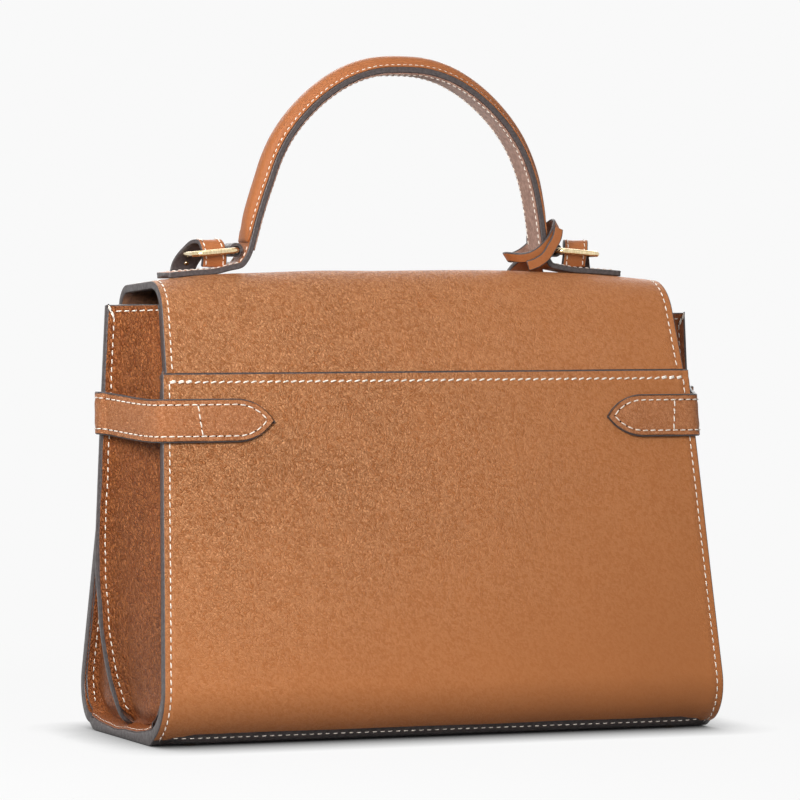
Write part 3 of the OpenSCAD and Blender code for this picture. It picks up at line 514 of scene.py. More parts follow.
class Sewing:
    """Stitches and needle holes of one body, gathered into one piece."""

    def __init__(self, name):
        self.name, self.verts, self.faces, self.kinds = name, [], [], []

    def _add(self, verts, faces, kind):
        base = len(self.verts)
        self.verts += verts
        self.faces += [[base + i for i in face] for face in faces]
        self.kinds += [kind] * len(faces)

    def stitch(self, centre, along, up, length=STITCH_L, r=THREAD_R, lift=0.0):
        side = np.cross(up, along)
        rings, around, steps = [], 6, 6
        for i in range(steps + 1):
            t = 2 * i / steps - 1
            size = r * math.sqrt(max(0.06, 1 - abs(t) ** 5))
            c = centre + along * t * length / 2 + up * (lift + r * 0.55 - r * 1.35 * abs(t) ** 3.5)
            rings.append([c + (side * math.cos(a) + up * math.sin(a)) * size
                          for a in (2 * math.pi * k / around for k in range(around))])
        faces = [[i * around + k, i * around + (k + 1) % around, (i + 1) * around + (k + 1) % around,
                  (i + 1) * around + k] for i in range(steps) for k in range(around)]
        faces += [list(range(around))[::-1], [steps * around + k for k in range(around)]]
        self._add([p for ring in rings for p in ring], faces, 0)

    # A dark disc with a low dome at a needle hole, painted as the shade in the hole
    def hole(self, centre, along, up):
        side = np.cross(up, along)
        around = 7
        rim = [centre + (side * math.cos(a) + along * math.sin(a)) * HOLE_R - up * 0.12
               for a in (2 * math.pi * k / around for k in range(around))]
        faces = [[k, (k + 1) % around, around] for k in range(around)]
        faces += [[(k + 1) % around, k, around + 1] for k in range(around)]
        self._add(rim + [centre + up * 0.07, centre - up * 0.3], faces, 1)

    def line(self, points, ups, pitch=PITCH, length=STITCH_L, slant=SLANT, r=THREAD_R, doubled=()):
        """A row of stitches. doubled holds the numbers of stitches sewn twice, counted from either end."""
        cum = lengths(points)
        count = max(1, round(cum[-1] / pitch))
        step = cum[-1] / count
        for k in range(count + 1):
            s = k * step
            here, before, after = (at_lengths(points, min(max(v, 0), cum[-1]))
                                   for v in (s, s - step / 2, s + step / 2))
            up = unit(between(s, cum, ups))
            along = unit(after - before)
            along = unit(along - up * np.dot(along, up))
            self.hole(here, along, up)
            if k == count:
                break
            centre = at_lengths(points, s + step / 2)
            up = unit(between(s + step / 2, cum, ups))
            ahead = at_lengths(points, s + step) - here
            along = unit(ahead - up * np.dot(ahead, up))
            turned = unit(along * math.cos(slant) + np.cross(up, along) * math.sin(slant))
            size = length * step / pitch
            self.stitch(centre, turned, up, size, r)
            if k in doubled or k - count in doubled:
                self.stitch(centre + np.cross(up, turned) * r * 1.5, turned, up, size, r)

    def piece(self):
        return make(self.name, self.verts, self.faces, [THREAD, HOLE_SHADE], self.kinds)


# Columns of a sheet that a seam beside its edge can lie in
NEAR_COLUMNS = 40


def inset_line(surface, side, inset, start, end):
    """Line on a sheet's outer face at a distance in from one of its sides, cut short at its ends."""
    _, p, n = surface
    if side in ("first_row", "last_row"):
        p, n = p.transpose(1, 0, 2), n.transpose(1, 0, 2)
    if side in ("last_row", "last_column"):
        p, n = p[:, ::-1], n[:, ::-1]
    near = [row[:NEAR_COLUMNS] for row in p]
    points = np.array([at_lengths(row, inset) for row in near])
    ups = np.array([between(inset, lengths(row), up[:NEAR_COLUMNS]) for row, up in zip(near, n)])
    total = lengths(points)
    where = np.linspace(start, total[-1] - end, len(points))
    return between(where, total, points), between(where, total, ups)


def seam(sewing, surface, side, inset, start, end, **stitches):
    """A row of stitches along one side of a sheet."""
    sewing.line(*inset_line(surface, side, inset, start, end), **stitches)


# Shape of the walls

def half_w(z):
    return BASE_W / 2 - (BASE_W - CROWN_W) / 2 * (z - EDGE_Z) / (CROWN_Z - EDGE_Z)


def edge_x(z):
    """Half the width of a panel, drawn in a little where its lower corner is rounded."""
    r = CORNER_R / 3
    drop = STUD_H + r - z
    return half_w(z) - (r - math.sqrt(max(0, r ** 2 - drop ** 2)) if drop > 0 else 0)


def wall_y(z, d=0.0):
    if z > TURN_Z + (TURN_R - d) * math.sin(LEAN):
        return BASE_D / 2 - (z - EDGE_Z) * math.tan(LEAN) - d / math.cos(LEAN)
    return TURN_Y + math.sqrt(max(0, (TURN_R - d) ** 2 - (z - TURN_Z) ** 2))


def straight_l(hi):
    return (hi - TURN_Z - TURN_R * math.sin(LEAN)) / math.cos(LEAN)


def wall_at(l, hi):
    """Depth, height and lean of a wall's outer face, at a length down from the height hi."""
    if l < straight_l(hi):
        z = hi - l * math.cos(LEAN)
        return wall_y(z), z, LEAN
    a = LEAN - (l - straight_l(hi)) / TURN_R
    return TURN_Y + TURN_R * math.cos(a), TURN_Z + TURN_R * math.sin(a), a


def front_pt(s, e):
    """Depth and height on the front wall, at a way up and a distance out."""
    return (-BASE_D / 2 + s * math.sin(LEAN) - e * math.cos(LEAN),
            EDGE_Z + s * math.cos(LEAN) + e * math.sin(LEAN))


def up_wall(z):
    return (z - EDGE_Z) / math.cos(LEAN)


def at_corner(x):
    """0 along the middle of a lower edge and 1 at its corners."""
    return rise(abs(x), 121, 17)


# How far a wall's leather covers the edge of its board
SKIN_OVER = 0.45
# How much further a wall's cut edge reaches round the turn, everywhere and more at the corners
EDGE_REACH, CORNER_REACH = 1.1, 9.0
# Size and depth of a wall's unevenness
WALL_UNEVEN = (42, 0.45)


def panel(name, node, side, hi):
    """The leather of a wall, from the height hi down to its cut edge on the turn."""
    long = straight_l(hi) + TURN_R * (LEAN - TURN_END)
    width = 2 * half_w(hi / 2)
    shares = [1 - 2 * g / width for g in graded(width, 0.55, 5.5, 6.5)]
    ls = graded(long, 0.55, 1.3, 6.5)
    grid = []
    for l0 in ls:
        row = []
        for s in shares:
            reach = EDGE_REACH + CORNER_REACH * at_corner(s * BASE_W / 2)
            l = l0 + reach * ease((l0 - long + 20) / 20)
            y, z, a = wall_at(l, hi)
            x = s * (edge_x(z) + SKIN_OVER)
            swell = (1 - s * s) * math.sin(math.pi * min(l / long, 1))
            lift = swell + soft((x, l, side * 90), *WALL_UNEVEN)
            lift += pucker((1 - abs(s)) * width / 2, l) + (pucker(l, x) if side > 0 else 0)
            row.append((x, side * (y + lift * math.cos(a)), z + lift * math.sin(a)))
        grid.append(row)
    thick = [STACK_T if (1 - abs(s)) * width / 2 < FLANGE_W - 1 else SHELL_T + 0.02 for s in shares]
    surface = sheet(name, np.array(grid), [thick] * len(ls), [TAN, SHADED_TAN, EDGE], rim=0.4, crown=0.3)
    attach(surface[0], "root")
    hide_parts(node)
    return surface


back = panel("back_skin", "back_panel", 1, SEAM_Z)
front = panel("front_skin", "front_panel", -1, RIM_Z)

root_sewing = Sewing("body_stitches")
for surface in (back, front):
    for column in ("first_column", "last_column"):
        seam(root_sewing, surface, column, SEAM_IN, start=4.2 if surface is back else 3, end=0.5)
seam(root_sewing, back, "first_row", 4.0, start=3.2, end=3.2, slant=BACK_SLANT, length=3.3, r=0.42,
     doubled=(0, 1, 2, -1, -2, -3))
seam(root_sewing, front, "first_row", SEAM_IN, start=3, end=3)


# Height of the seam between a gusset and the base, from the front of the bag to its back
FOOT_LINE = [(-62, 11.5), (-50, 6.9), (-33, 4.7), (-20, 3.9), (-9.6, 3.3), (-2, 3.7), (6, 4.5), (14, 4.4),
             (23, 4.8), (35, 6.1), (47, 8.6), (62, 11.5)]


def foot_z(y):
    return float(np.interp(y, *zip(*FOOT_LINE)))


# How far the base's edges sag
BASE_SAG = 2.1


def base_sag(x, y, z):
    """How far the base leather sags at its ends and under the walls."""
    sag = BASE_SAG * max(rise(abs(x), 116, 18), rise(y, 28, 10)) * ease((EDGE_Z - z) / 2.2)
    return sag * (1 - 0.95 * at_corner(x) * rise(y, 42, 8))


def base_skin():
    """The leather under the bag, turned up to the walls' cut edges, with a dark band at its edges: edge
    paint on its rims, and along its turned-up rim partly painted shade where it turns under.
    """
    r = TURN_R - BASE_STEP
    start = TURN_END - math.radians(1)
    flat = 2 * TURN_Y
    curved = r * (start + math.pi / 2)
    ls = graded(2 * curved + flat, 0.5, 3, 24)
    width = 2 * half_w(STUD_H)
    shares = [1 - 2 * g / width for g in graded(width, 0.6, 8, 12)]
    grid, thick = [], []
    for l in ls:
        side = 1
        if l > curved + flat:
            l, side = 2 * curved + flat - l, -1
        if l < curved:
            a = start - l / r
            y, z = TURN_Y + r * math.cos(a), TURN_Z + r * math.sin(a)
        else:
            y, z = TURN_Y - (l - curved), STUD_H + BASE_STEP
        row, depths = [], []
        for s in shares:
            x = s * edge_x(max(z, EDGE_Z - 0.5))
            low = z - base_sag(x, y, z)
            row.append((x, side * y, low))
            at_end = abs(s) * width / 2 > width / 2 - FLANGE_W / 2
            depths.append(max(foot_z(side * y) - low - SEWN_GAP, 1.2) if at_end else LEATHER_T - BASE_STEP)
        grid.append(row)
        thick.append(depths)
    # The dark rows along the turned-up rim are partly edge paint and partly painted shade of the underside
    surface = sheet("base_skin", np.array(grid), thick, [TAN, SHADED_TAN, EDGE], inside=(0, 0, 60), rim=0.4,
                    edge_paint_and_shade_rows=30)
    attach(surface[0], "root")
    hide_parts("base_panel")
    for row in ("first_row", "last_row"):
        seam(root_sewing, surface, row, 3.4, start=8, end=8, r=0.24, length=2.4)


base_skin()


# Gussets

# Height and reach of the fin's edge, as shares of the rim's height and of the reach at the rim
FIN_SHARES = [(0.034, -0.307), (0.038, -0.224), (0.052, -0.024), (0.088, 0.172), (0.148, 0.42),
              (0.248, 0.695), (0.321, 0.815), (0.413, 0.949), (0.552, 0.976), (0.666, 0.99), (0.781, 1),
              (1, 1.01)]
FIN_LINE = spline(FIN_SHARES, 6)
# Height of the fin's foot, where the crease above the base seam begins
CREASE_Z = FIN_SHARES[0][0] * RIM_Z
HINGE_Y = wall_y(SEAM_Z) - LEATHER_T / 2 - (HINGE_Z - SEAM_Z) * math.tan(YOKE_LEAN)
CROWN_C = (HINGE_Y - CROWN_R * math.cos(YOKE_LEAN), HINGE_Z - CROWN_R * math.sin(YOKE_LEAN))


def fin_x(z):
    """Distance of the fin's edge from the middle, at a height."""
    return half_w(z) + FIN_OUT * float(np.interp(z / RIM_Z, FIN_LINE[:, 0], FIN_LINE[:, 1]))


def yoke_y(z, d=0.0):
    return wall_y(SEAM_Z) - LEATHER_T / 2 - (z - SEAM_Z) * math.tan(YOKE_LEAN) - d / math.cos(YOKE_LEAN)


def shell_in(z, side):
    """Depth of the inside of the shell at a height."""
    if side < 0 or z < SEAM_Z:
        return wall_y(z, SHELL_T)
    if z < HINGE_Z:
        return yoke_y(z, FLAP_T)
    crown = CROWN_C[0] + math.sqrt((CROWN_R - FLAP_T) ** 2 - (z - CROWN_C[1]) ** 2) - REST_GAP
    return min(yoke_y(z, FLAP_T), crown)


# Distance of the fin's seam from its edge, and height of the flange above the base seam
FIN_SEAM, FLANGE_H = 3.2, 3.3
GUSSET_COLUMNS = 64
# Rows of the foot, as shares of its height, and how far it reaches from the middle of the bag
FOOT_ROWS = (0, 0.12, 0.3, 0.5, 0.7, 0.88, 0.97)
FOOT_X = 133.5
# Distance from the middle line at which the feet of a gusset's two halves end
MEET_Y = 0.25
# How much lower the fin stands on the right
RIGHT_FIN_LOWER = 4.8


def gusset_plan(z, side):
    """Middle line of half a gusset seen from above, from the panel's edge to the fin's edge."""
    edge, mid = fin_x(z), SEWN_GAP + GUSSET_T / 2
    y = shell_in(z, side) - mid
    bend, root = half_w(z) - FLANGE_W, edge - FIN_W
    start = edge_x(z) - (1.6 if side > 0 and z > SEAM_Z else 0.5)
    plan = [(start, y), (bend + GUSSET_T, y), (min(bend, root - GUSSET_T), y - GUSSET_T * 1.2),
            ((bend + root) / 2 + GUSSET_T, (y - GUSSET_T) / 2), (root, mid + GUSSET_T / 4), (edge, mid)]
    line = rounded(plan, 3)
    return at_lengths(line, np.linspace(0, lengths(line)[-1], GUSSET_COLUMNS))


def knot(surface):
    """The thread's end, wound over the corner between a gusset's rim and its fin."""
    _, grid, ups = surface
    corner, inner = grid[-1, -1], grid[-4, -6]
    up = ups[-4, -6]
    for k in range(3):
        over = np.array((0, 0, 0.9 - 0.5 * k))
        points = [inner + up * 0.1, (inner + corner) / 2 + up * 0.35, corner + up * 0.2]
        root_sewing.line(np.array(points) - over, np.array([up] * 3), length=3.6, pitch=3.8, r=0.4)


def gusset(side_name, half_name):
    """Half a gusset: a flange sewn inside the wall, a turned-in side, half of the fin, and a foot."""
    sx, side = SIDES[side_name], 1 if half_name == "back" else -1
    name = f"gusset_{side_name}_{half_name}"
    grid = []
    share = np.linspace(0, 1, GUSSET_COLUMNS)
    wall = gusset_plan(CREASE_Z, side)
    ys = wall[0][1] + (-MEET_Y - wall[0][1]) * share
    feet = np.array([foot_z(side * y) for y in ys])
    wide = edge_x(EDGE_Z) - 0.25
    xs = [FOOT_X + (wall[0][0] - FOOT_X) * (1 - ease(u / 0.14)) for u in share]
    for t in FOOT_ROWS:
        grid.append([(sx * (wide + (x - wide) * t ** 1.7), side * y, low + FLANGE_H * t ** 0.85)
                     for x, y, low in zip(xs, ys, feet)])
    heights = np.concatenate([np.linspace(0, 0.09, 26), np.linspace(0.09, 1, 100)[1:]])
    for v in heights:
        line = gusset_plan(CREASE_Z + (RIM_Z - CREASE_Z) * v, side)
        row = []
        for u, (x, y), low, foot_x in zip(share, line, feet, xs):
            h = (RIM_Z - low - FLANGE_H) * v * (1 - (0.024 * ease((u - 0.3) / 0.5) if sx < 0 else 0))
            z = low + FLANGE_H + h
            puff = 2.2 * math.exp(-((h - 6) / 6) ** 2) * math.exp(-((u - 0.5) / 0.2) ** 2)
            crease = -1.1 * math.exp(-((u - 0.9 + h * 0.004) / 0.03) ** 2)
            crease *= ease(h / 8) * ease((70 - h) / 50)
            wave = soft((x * sx, y, z * 0.6), 9, 0.55) * ease((u - 0.15) * 5) * ease(h / 8)
            bulge = 1.1 * math.sin(math.pi * min(max((u - 0.28) / 0.6, 0), 1)) * ease((z - 30) / 60)
            edge = pucker(lengths(line)[-1] * (1 - u), z, FIN_SEAM) * ease((h - 8) / 6)
            at = (x + wave * 0.7 + crease - bulge * 0.2,
                  y - wave * 0.4 * (1 - u) + bulge * 0.4 + edge * 0.8)
            open_up = ease((h + 0.5) / 9)
            foot = (foot_x, line[0][1] * (1 - u) - MEET_Y * u)
            x, y = (flat + (own - flat) * open_up for flat, own in zip(foot, at))
            row.append((sx * (x + puff), side * y, z))
        grid.append(row)
    middle = np.array(grid)
    n = normals(middle, (0, 0, 100))
    thin = [0.0] * len(FOOT_ROWS)
    out = np.array(thin + [ease((v * (RIM_Z - CREASE_Z) - 1) / 9) for v in heights])[:, None, None]
    surface = sheet(name + "_skin", middle + n * GUSSET_T / 2 * out, GUSSET_T * (0.3 + 0.7 * out[..., 0]),
                    [SHADED_TAN, LINING, EDGE], rim=0.45, crown=0.1)
    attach(surface[0], "root")
    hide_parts(name)
    seam(root_sewing, surface, "last_column", FIN_SEAM, start=14, end=5, r=0.3, length=2.7)
    seam(root_sewing, surface, "last_row", 2.9, start=FLANGE_W, end=3)
    seam(root_sewing, surface, "first_column", 3.4, start=12, end=4, r=0.3, length=2.7)
    seam(root_sewing, surface, "first_row", 1.6, start=1, end=1, r=0.17, length=1.2, pitch=2.3)
    if side > 0:
        knot(surface)


for side_name in SIDES:
    for half_name in ("back", "front"):
        gusset(side_name, half_name)


def fin_edge(side_name):
    """The painted edge that joins the two halves of a fin."""
    sx = SIDES[side_name]
    thick = 2 * (GUSSET_T + SEWN_GAP)
    rings = []
    for z in np.linspace(CREASE_Z - 0.2, RIM_Z - (0.2 if sx > 0 else RIGHT_FIN_LOWER), 90):
        x = fin_x(z)
        tangent = unit((fin_x(z + 1) - fin_x(z - 1), 2))
        out = np.array((tangent[1], -tangent[0]))
        ring = []
        for a in np.radians(np.linspace(-90, 90, 9)):
            reach = 0.75 * math.cos(a) + 0.1
            ring.append((sx * (x + out[0] * reach), thick / 2 * math.sin(a), z + out[1] * reach))
        ring += [(sx * (x - out[0] * 0.8), y, z - out[1] * 0.8)
                 for y in (thick / 2 - 0.1, -thick / 2 + 0.1)]
        rings.append(ring)
    made = loft(f"fin_edge_{side_name}", rings, [EDGE])
    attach(made, "root")


for side_name in SIDES:
    fin_edge(side_name)


# Flap

TOP_ANGLE, FRONT_ANGLE = math.pi / 2 + TOP_FALL, math.pi - LEAN


def brow_centre():
    """Centre of the flap's front edge, where the lines of its top and of its front cross."""
    top_n = np.array((math.cos(TOP_ANGLE), math.sin(TOP_ANGLE)))
    front_n = np.array((math.cos(FRONT_ANGLE), math.sin(FRONT_ANGLE)))
    reach = (top_n @ np.array(CROWN_C) + CROWN_R - BROW_R,
             front_n @ np.array(front_pt(0, REST_GAP + FLAP_T)) - BROW_R)
    return np.linalg.solve(np.array([top_n, front_n]), reach)


BROW_C = brow_centre()
LOCK_S, DROP_S = up_wall(LOCK_Z), up_wall(DROP_Z)
LOCK_FACE = REST_GAP + FLAP_T + STRAP_T / 2
SLOT_W = KNOB_W + 5 * REST_GAP
SLOT_UP = KNOB_L / 2 + REST_GAP * 3
SLOT_DOWN = KNOB_L / 2 + (LOCK_FACE + KNOB_H) * 1.1
TONGUE_TIP, TONGUE_R = LOCK_S - SLOT_DOWN - TONGUE_W / 4, TONGUE_W / 2
FLAP_SIDE = half_w(DROP_Z) - FLAP_INSET


def circle_y(r, x):
    return math.sqrt(max(0, r * r - x * x))


def flap_end(x):
    """Way up the front wall of the flap's edge, at a distance from the middle."""
    if x <= TONGUE_R:
        return TONGUE_TIP + TONGUE_R - circle_y(TONGUE_R, x)
    if x < TONGUE_R + CORNER_R:
        return DROP_S - CORNER_R + circle_y(CORNER_R, TONGUE_R + CORNER_R - x)
    if x > FLAP_SIDE - CORNER_R:
        return DROP_S + CORNER_R - circle_y(CORNER_R, x - FLAP_SIDE + CORNER_R)
    return DROP_S


def dome(share):
    return DOME_H * (1 - abs(share) ** 3)


def flap_line():
    """The flap's outer face from the back seam to its straight front.

    Rows of depth, height, share of the dome, and length from the seam."""
    rows = []
    for z in np.linspace(SEAM_Z + SEWN_GAP, HINGE_Z, 30):
        rows.append((yoke_y(z), z, 0))
    for t in np.linspace(0, 1, 28)[1:]:
        a = YOKE_LEAN + (TOP_ANGLE - YOKE_LEAN) * t
        rows.append((CROWN_C[0] + CROWN_R * math.cos(a), CROWN_C[1] + CROWN_R * math.sin(a), ease(t)))
    start = (BROW_C[0] + BROW_R * math.cos(TOP_ANGLE), BROW_C[1] + BROW_R * math.sin(TOP_ANGLE))
    last = rows[-1]
    for t in np.linspace(0, 1, 34)[1:]:
        rows.append((last[0] + (start[0] - last[0]) * t, last[1] + (start[1] - last[1]) * t, 1))
    for t in np.linspace(0, 1, 15)[1:]:
        a = TOP_ANGLE + (FRONT_ANGLE - TOP_ANGLE) * t
        rows.append((BROW_C[0] + BROW_R * math.cos(a), BROW_C[1] + BROW_R * math.sin(a), ease(1 - t)))
    rows = np.array(rows)
    return np.column_stack([rows, lengths(rows[:, :2])])


def flap_columns():
    """Distances from the middle, close together at the sides and at the tongue's edge."""
    tongue = [TONGUE_R * math.sin(math.radians(a)) for a in np.linspace(0, 90, 16)]
    fillet = [TONGUE_R + CORNER_R * (1 - math.cos(math.radians(a))) for a in (12, 30, 45, 60, 75, 90)]
    rest = [FLAP_SIDE - g for g in graded(2 * (FLAP_SIDE - fillet[-1]), 0.55, 4.5, 6.5)]
    side = sorted(x for x in rest if x > fillet[-1] + 1)
    half = tongue + fillet + side
    return np.array(sorted([-x for x in half[1:]] + half, reverse=True)) / FLAP_SIDE


# Size and depth of the flap's unevenness
FLAP_UNEVEN = (38, 0.5)


def flap_skin():
    """The flap in one piece, from the seam in the back over the top to the tongue."""
    line = flap_line()
    shares = flap_columns()
    drop = np.linspace(0, 1, 34)[1:]
    s_from = BROW_C[1] + BROW_R * math.sin(FRONT_ANGLE) - EDGE_Z - (REST_GAP + FLAP_T) * math.sin(LEAN)
    s_from /= math.cos(LEAN)
    grid = [[] for _ in range(len(line) + len(drop))]
    total = line[-1, 3]
    for share in shares:
        end = flap_end(abs(share) * FLAP_SIDE)
        points = [(y, z, d, l) for y, z, d, l in line]
        for t in drop:
            s = s_from + (end - s_from) * t
            points.append((*front_pt(s, REST_GAP + FLAP_T), 0, total + (s_from - s)))
        for i, (y, z, d, l) in enumerate(points):
            half = half_w(z) - FLAP_INSET
            x = share * half
            before, after = points[max(i - 1, 0)], points[min(i + 1, len(points) - 1)]
            ahead = unit((after[0] - before[0], after[1] - before[1]))
            out = (ahead[1], -ahead[0])
            lift = soft((x, l, 300), *FLAP_UNEVEN) * ease((1 - abs(share)) * 6)
            lift = pucker((1 - abs(share)) * half, l) + lift
            grid[i].append((x, y + out[0] * lift, z + out[1] * lift + d * dome(share)))
    thick = np.full((len(grid), len(shares)), FLAP_T)
    yoke_rows = int(np.sum(line[:40, 1] < HINGE_Z - 0.5))
    near_side = (1 - np.abs(shares)) * FLAP_SIDE < FLANGE_W - 1
    thick[:yoke_rows, near_side] = FLAP_T + GUSSET_T - 0.3
    surface = sheet("flap_skin", np.array(grid), thick, [TAN, LINING, EDGE], rim=0.4, crown=0.3)
    cut_slot(surface[0])
    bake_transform(surface[0])
    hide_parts("flap_yoke", "flap_leather", "flap_lining")
    return surface


def on_front(x, s, e):
    y, z = front_pt(s, e)
    return (x, y, z)


def cut_slot(piece):
    """Cuts the slot for the lock through the tongue."""
    low, high, r = LOCK_S - SLOT_DOWN + SLOT_W / 2, LOCK_S + SLOT_UP - SLOT_W / 2, SLOT_W / 2
    outline = arc((0, high), r, 0, 180, 10) + arc((0, low), r, 180, 360, 10)
    rings = [[on_front(x, s, e) for x, s in outline] for e in (-1.5, FLAP_T + 3)]
    cutter = loft("slot_cutter", rings, [EDGE])
    modifier = piece.modifiers.new("slot", "BOOLEAN")
    modifier.operation = "DIFFERENCE"
    modifier.object = cutter
    modifier.material_mode = "TRANSFER"
    apply_modifiers(piece)
    bpy.data.objects.remove(cutter)


def apply_modifiers(piece):
    bpy.context.view_layer.update()
    shaped = piece.evaluated_get(bpy.context.evaluated_depsgraph_get())
    mesh = bpy.data.meshes.new_from_object(shaped)
    piece.modifiers.clear()
    piece.data = mesh


flap = flap_skin()

flap_sewing = Sewing("flap_stitches")
for column in ("first_column", "last_column"):
    seam(flap_sewing, flap, column, SEAM_IN, start=1.5, end=1.5)


def front_seam():
    """Seam along the flap's front edge and round the tongue."""
    xs = np.concatenate([np.linspace(FLAP_SIDE, FLAP_SIDE - CORNER_R, 6),
                         np.linspace(FLAP_SIDE - CORNER_R, TONGUE_R + CORNER_R, 20)[1:]])
    fillet = [TONGUE_R + CORNER_R * (1 - math.cos(math.radians(a))) for a in (75, 60, 45, 30, 15, 0)]
    tongue = [TONGUE_R * math.sin(math.radians(a)) for a in np.linspace(90, 0, 18)]
    half = [(x, flap_end(x)) for x in list(xs) + fillet + tongue]
    line = np.array(half + [(-x, s) for x, s in reversed(half[:-1])])
    line = evenly(line, 1.0)
    ahead = unit(np.gradient(line, axis=0))
    line = line + np.stack([-ahead[:, 1], ahead[:, 0]], 1) * -SEAM_IN
    line = line[(np.abs(line[:, 0]) < FLAP_SIDE - SEAM_IN - 2)]
    points = np.array([on_front(x, s, REST_GAP + FLAP_T) for x, s in line])
    ups = np.broadcast_to(np.array((0, -math.cos(LEAN), math.sin(LEAN))), points.shape)
    flap_sewing.line(points, ups.copy())


front_seam()


# Side straps

POINT_R = (POINT_L ** 2 + (STRAP_W / 2) ** 2) / STRAP_W
STRAP_TURN_X = half_w(STRAP_Z) + STRAP_T * 0.9
# How far a strap rises over the fin, and where that starts and is complete
STRAP_RISE, RISE_FROM_X, RISE_WIDE = 2.8, 136, 15
# Distance of the cross seam from the middle of the bag
CROSS_X = {"left": 115.8, "right": 122.1}


def strap_half(u):
    """Half the height of a strap at a length from its tip."""
    if u >= POINT_L:
        return STRAP_W / 2
    return max(circle_y(POINT_R, POINT_L - u) - (POINT_R - STRAP_W / 2), 0.15)


def strap_plan(z, tip):
    """Middle line of a strap seen from above, from its tip on the back to its tip on the front."""
    lift = STRAP_T / 2 / math.cos(LEAN)
    yb = wall_y(z) + lift + SEWN_GAP
    yf = wall_y(z) + lift + REST_GAP
    fin = half_w(STRAP_Z - STRAP_W / 2) + FIN_OUT * 1.02 + SEWN_GAP + STRAP_T / 2 - 0.1
    around = [(fin - STRAP_T * 1.5 * (1 - math.cos(a)), -STRAP_T * 2.4 * math.sin(a))
              for a in np.linspace(-math.pi / 2, math.pi / 2, 9)]
    back_turn = [(half_w(STRAP_Z) - 9, yb), (half_w(STRAP_Z) + 0.4, yb), (STRAP_TURN_X + 1.2, yb - 2.6)]
    front_turn = [(STRAP_TURN_X + 0.6, -yf + 3), (STRAP_TURN_X - 1.2, -yf), (STRAP_TURN_X - 9, -yf)]
    side = rounded([*back_turn, *around, *front_turn], 3)
    return np.vstack([[(tip, yb)], side, [(FRONT_TIP_X, -yf)]])


def strap(side_name):
    """A side strap in one piece, sewn to the back and closed on a snap at the front."""
    sx = SIDES[side_name]
    back_tip = BACK_TIP_X - sx * TIP_OFF
    total = lengths(strap_plan(STRAP_Z, back_tip))[-1]
    tip = [POINT_L * (1 - math.cos(math.radians(a))) for a in np.linspace(0, 90, 18)]
    us = tip + list(np.linspace(POINT_L, total - POINT_L, 170)[1:-1]) + [total - u for u in reversed(tip)]
    shares = [1 - g / (STRAP_W / 2) for g in graded(STRAP_W, 0.5, 1.6, 4)]
    grid = [[] for _ in us]
    for share in shares:
        for i, u in enumerate(us):
            half = strap_half(min(u, total - u))
            h = share * half
            z = STRAP_Z + h * math.cos(LEAN)
            x, y = at_lengths(strap_plan(z, back_tip), u)
            grid[i].append((sx * x, y, z + STRAP_RISE * rise(x, RISE_FROM_X, RISE_WIDE)))
    grid = np.array(grid)
    n = normals(grid, (0, 0, STRAP_Z))
    lift = np.array([[pucker((1 - abs(s)) * strap_half(min(u, total - u)), u)
                      + soft((s * 9, u, 40 * sx), 16, 0.3) for s in shares] for u in us])
    surface = sheet(f"strap_{side_name}_skin", grid + n * (STRAP_T / 2 + lift[..., None]), STRAP_T,
                    [STRAP_TAN, NAP, EDGE], inside=(0, 0, STRAP_Z), rim=0.55, crown=0.2)
    sewing = Sewing(f"strap_{side_name}_stitches")
    outer = grid + n * STRAP_T / 2
    sew_strap(sewing, outer, n, us, total, CROSS_X[side_name] - back_tip)
    stitches = sewing.piece()
    for piece in (surface[0], stitches):
        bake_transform(piece)
    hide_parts(f"strap_{side_name}_back", f"strap_{side_name}_front")


def sew_strap(sewing, outer, n, us, total, cross_u):
    """Seams along both edges of a strap and round its points, and across where it leaves the back."""

    def at(u, h):
        i = min(max(int(np.searchsorted(us, u)), 1), len(us) - 1)
        t = (u - us[i - 1]) / (us[i] - us[i - 1])
        row, ups = ((1 - t) * a[i - 1] + t * a[i] for a in (outer, n))
        heights = (row[:, 2] - (row[0, 2] + row[-1, 2]) / 2) / math.cos(LEAN)
        order = np.argsort(heights)
        return (between(h, heights[order], row[order]), unit(between(h, heights[order], ups[order])))

    inset = 2.7
    edge = np.array([(u, strap_half(u)) for u in np.linspace(0, POINT_L, 30)] + [(total / 2, STRAP_W / 2)])
    ahead = unit(np.gradient(edge, axis=0))
    inner = edge + np.stack([ahead[:, 1], -ahead[:, 0]], 1) * inset
    inner = inner[inner[:, 1] > 0]
    half = np.vstack([[(np.interp(0, inner[:, 1], inner[:, 0]), 0)], inner])
    half = np.vstack([half, [(total - u, h) for u, h in half[::-1]]])
    around = evenly(np.vstack([half, [(u, -h) for u, h in half[::-1]]]), 1.0)
    across = [(cross_u + 0.1 * h, h) for h in np.linspace(STRAP_W / 2 - inset, inset - STRAP_W / 2, 12)]
    for line, slant, pitch in ((around, 0.05, PITCH), (across, 0.1, 3.5)):
        points, ups = np.array([at(u, h) for u, h in line]).transpose(1, 0, 2)
        sewing.line(points, ups, slant=slant, pitch=pitch)


for side_name in SIDES:
    strap(side_name)


# Handle

HANDLE_SHARES = [(0, 1), (0.16, 0.99), (0.31, 0.946), (0.454, 0.866), (0.577, 0.765), (0.665, 0.665),
                 (0.726, 0.564), (0.768, 0.464), (0.801, 0.365), (0.829, 0.265), (0.852, 0.165),
                 (0.866, 0.105), (0.888, 0.058), (0.925, 0.02), (1, 0.004)]
HALF_FLAP = CROWN_W / 2


def top_z(x):
    return CROWN_C[1] + CROWN_R - CROWN_C[0] * math.tan(TOP_FALL) + dome(x / HALF_FLAP) + LEATHER_T / 5


FOOT_Z = top_z(HANDLE_HALF)
GRIP_LOW = FOOT_Z + HANDLE_RISE * 0.235
COVER_LOW = FOOT_Z + HANDLE_RISE * 0.14


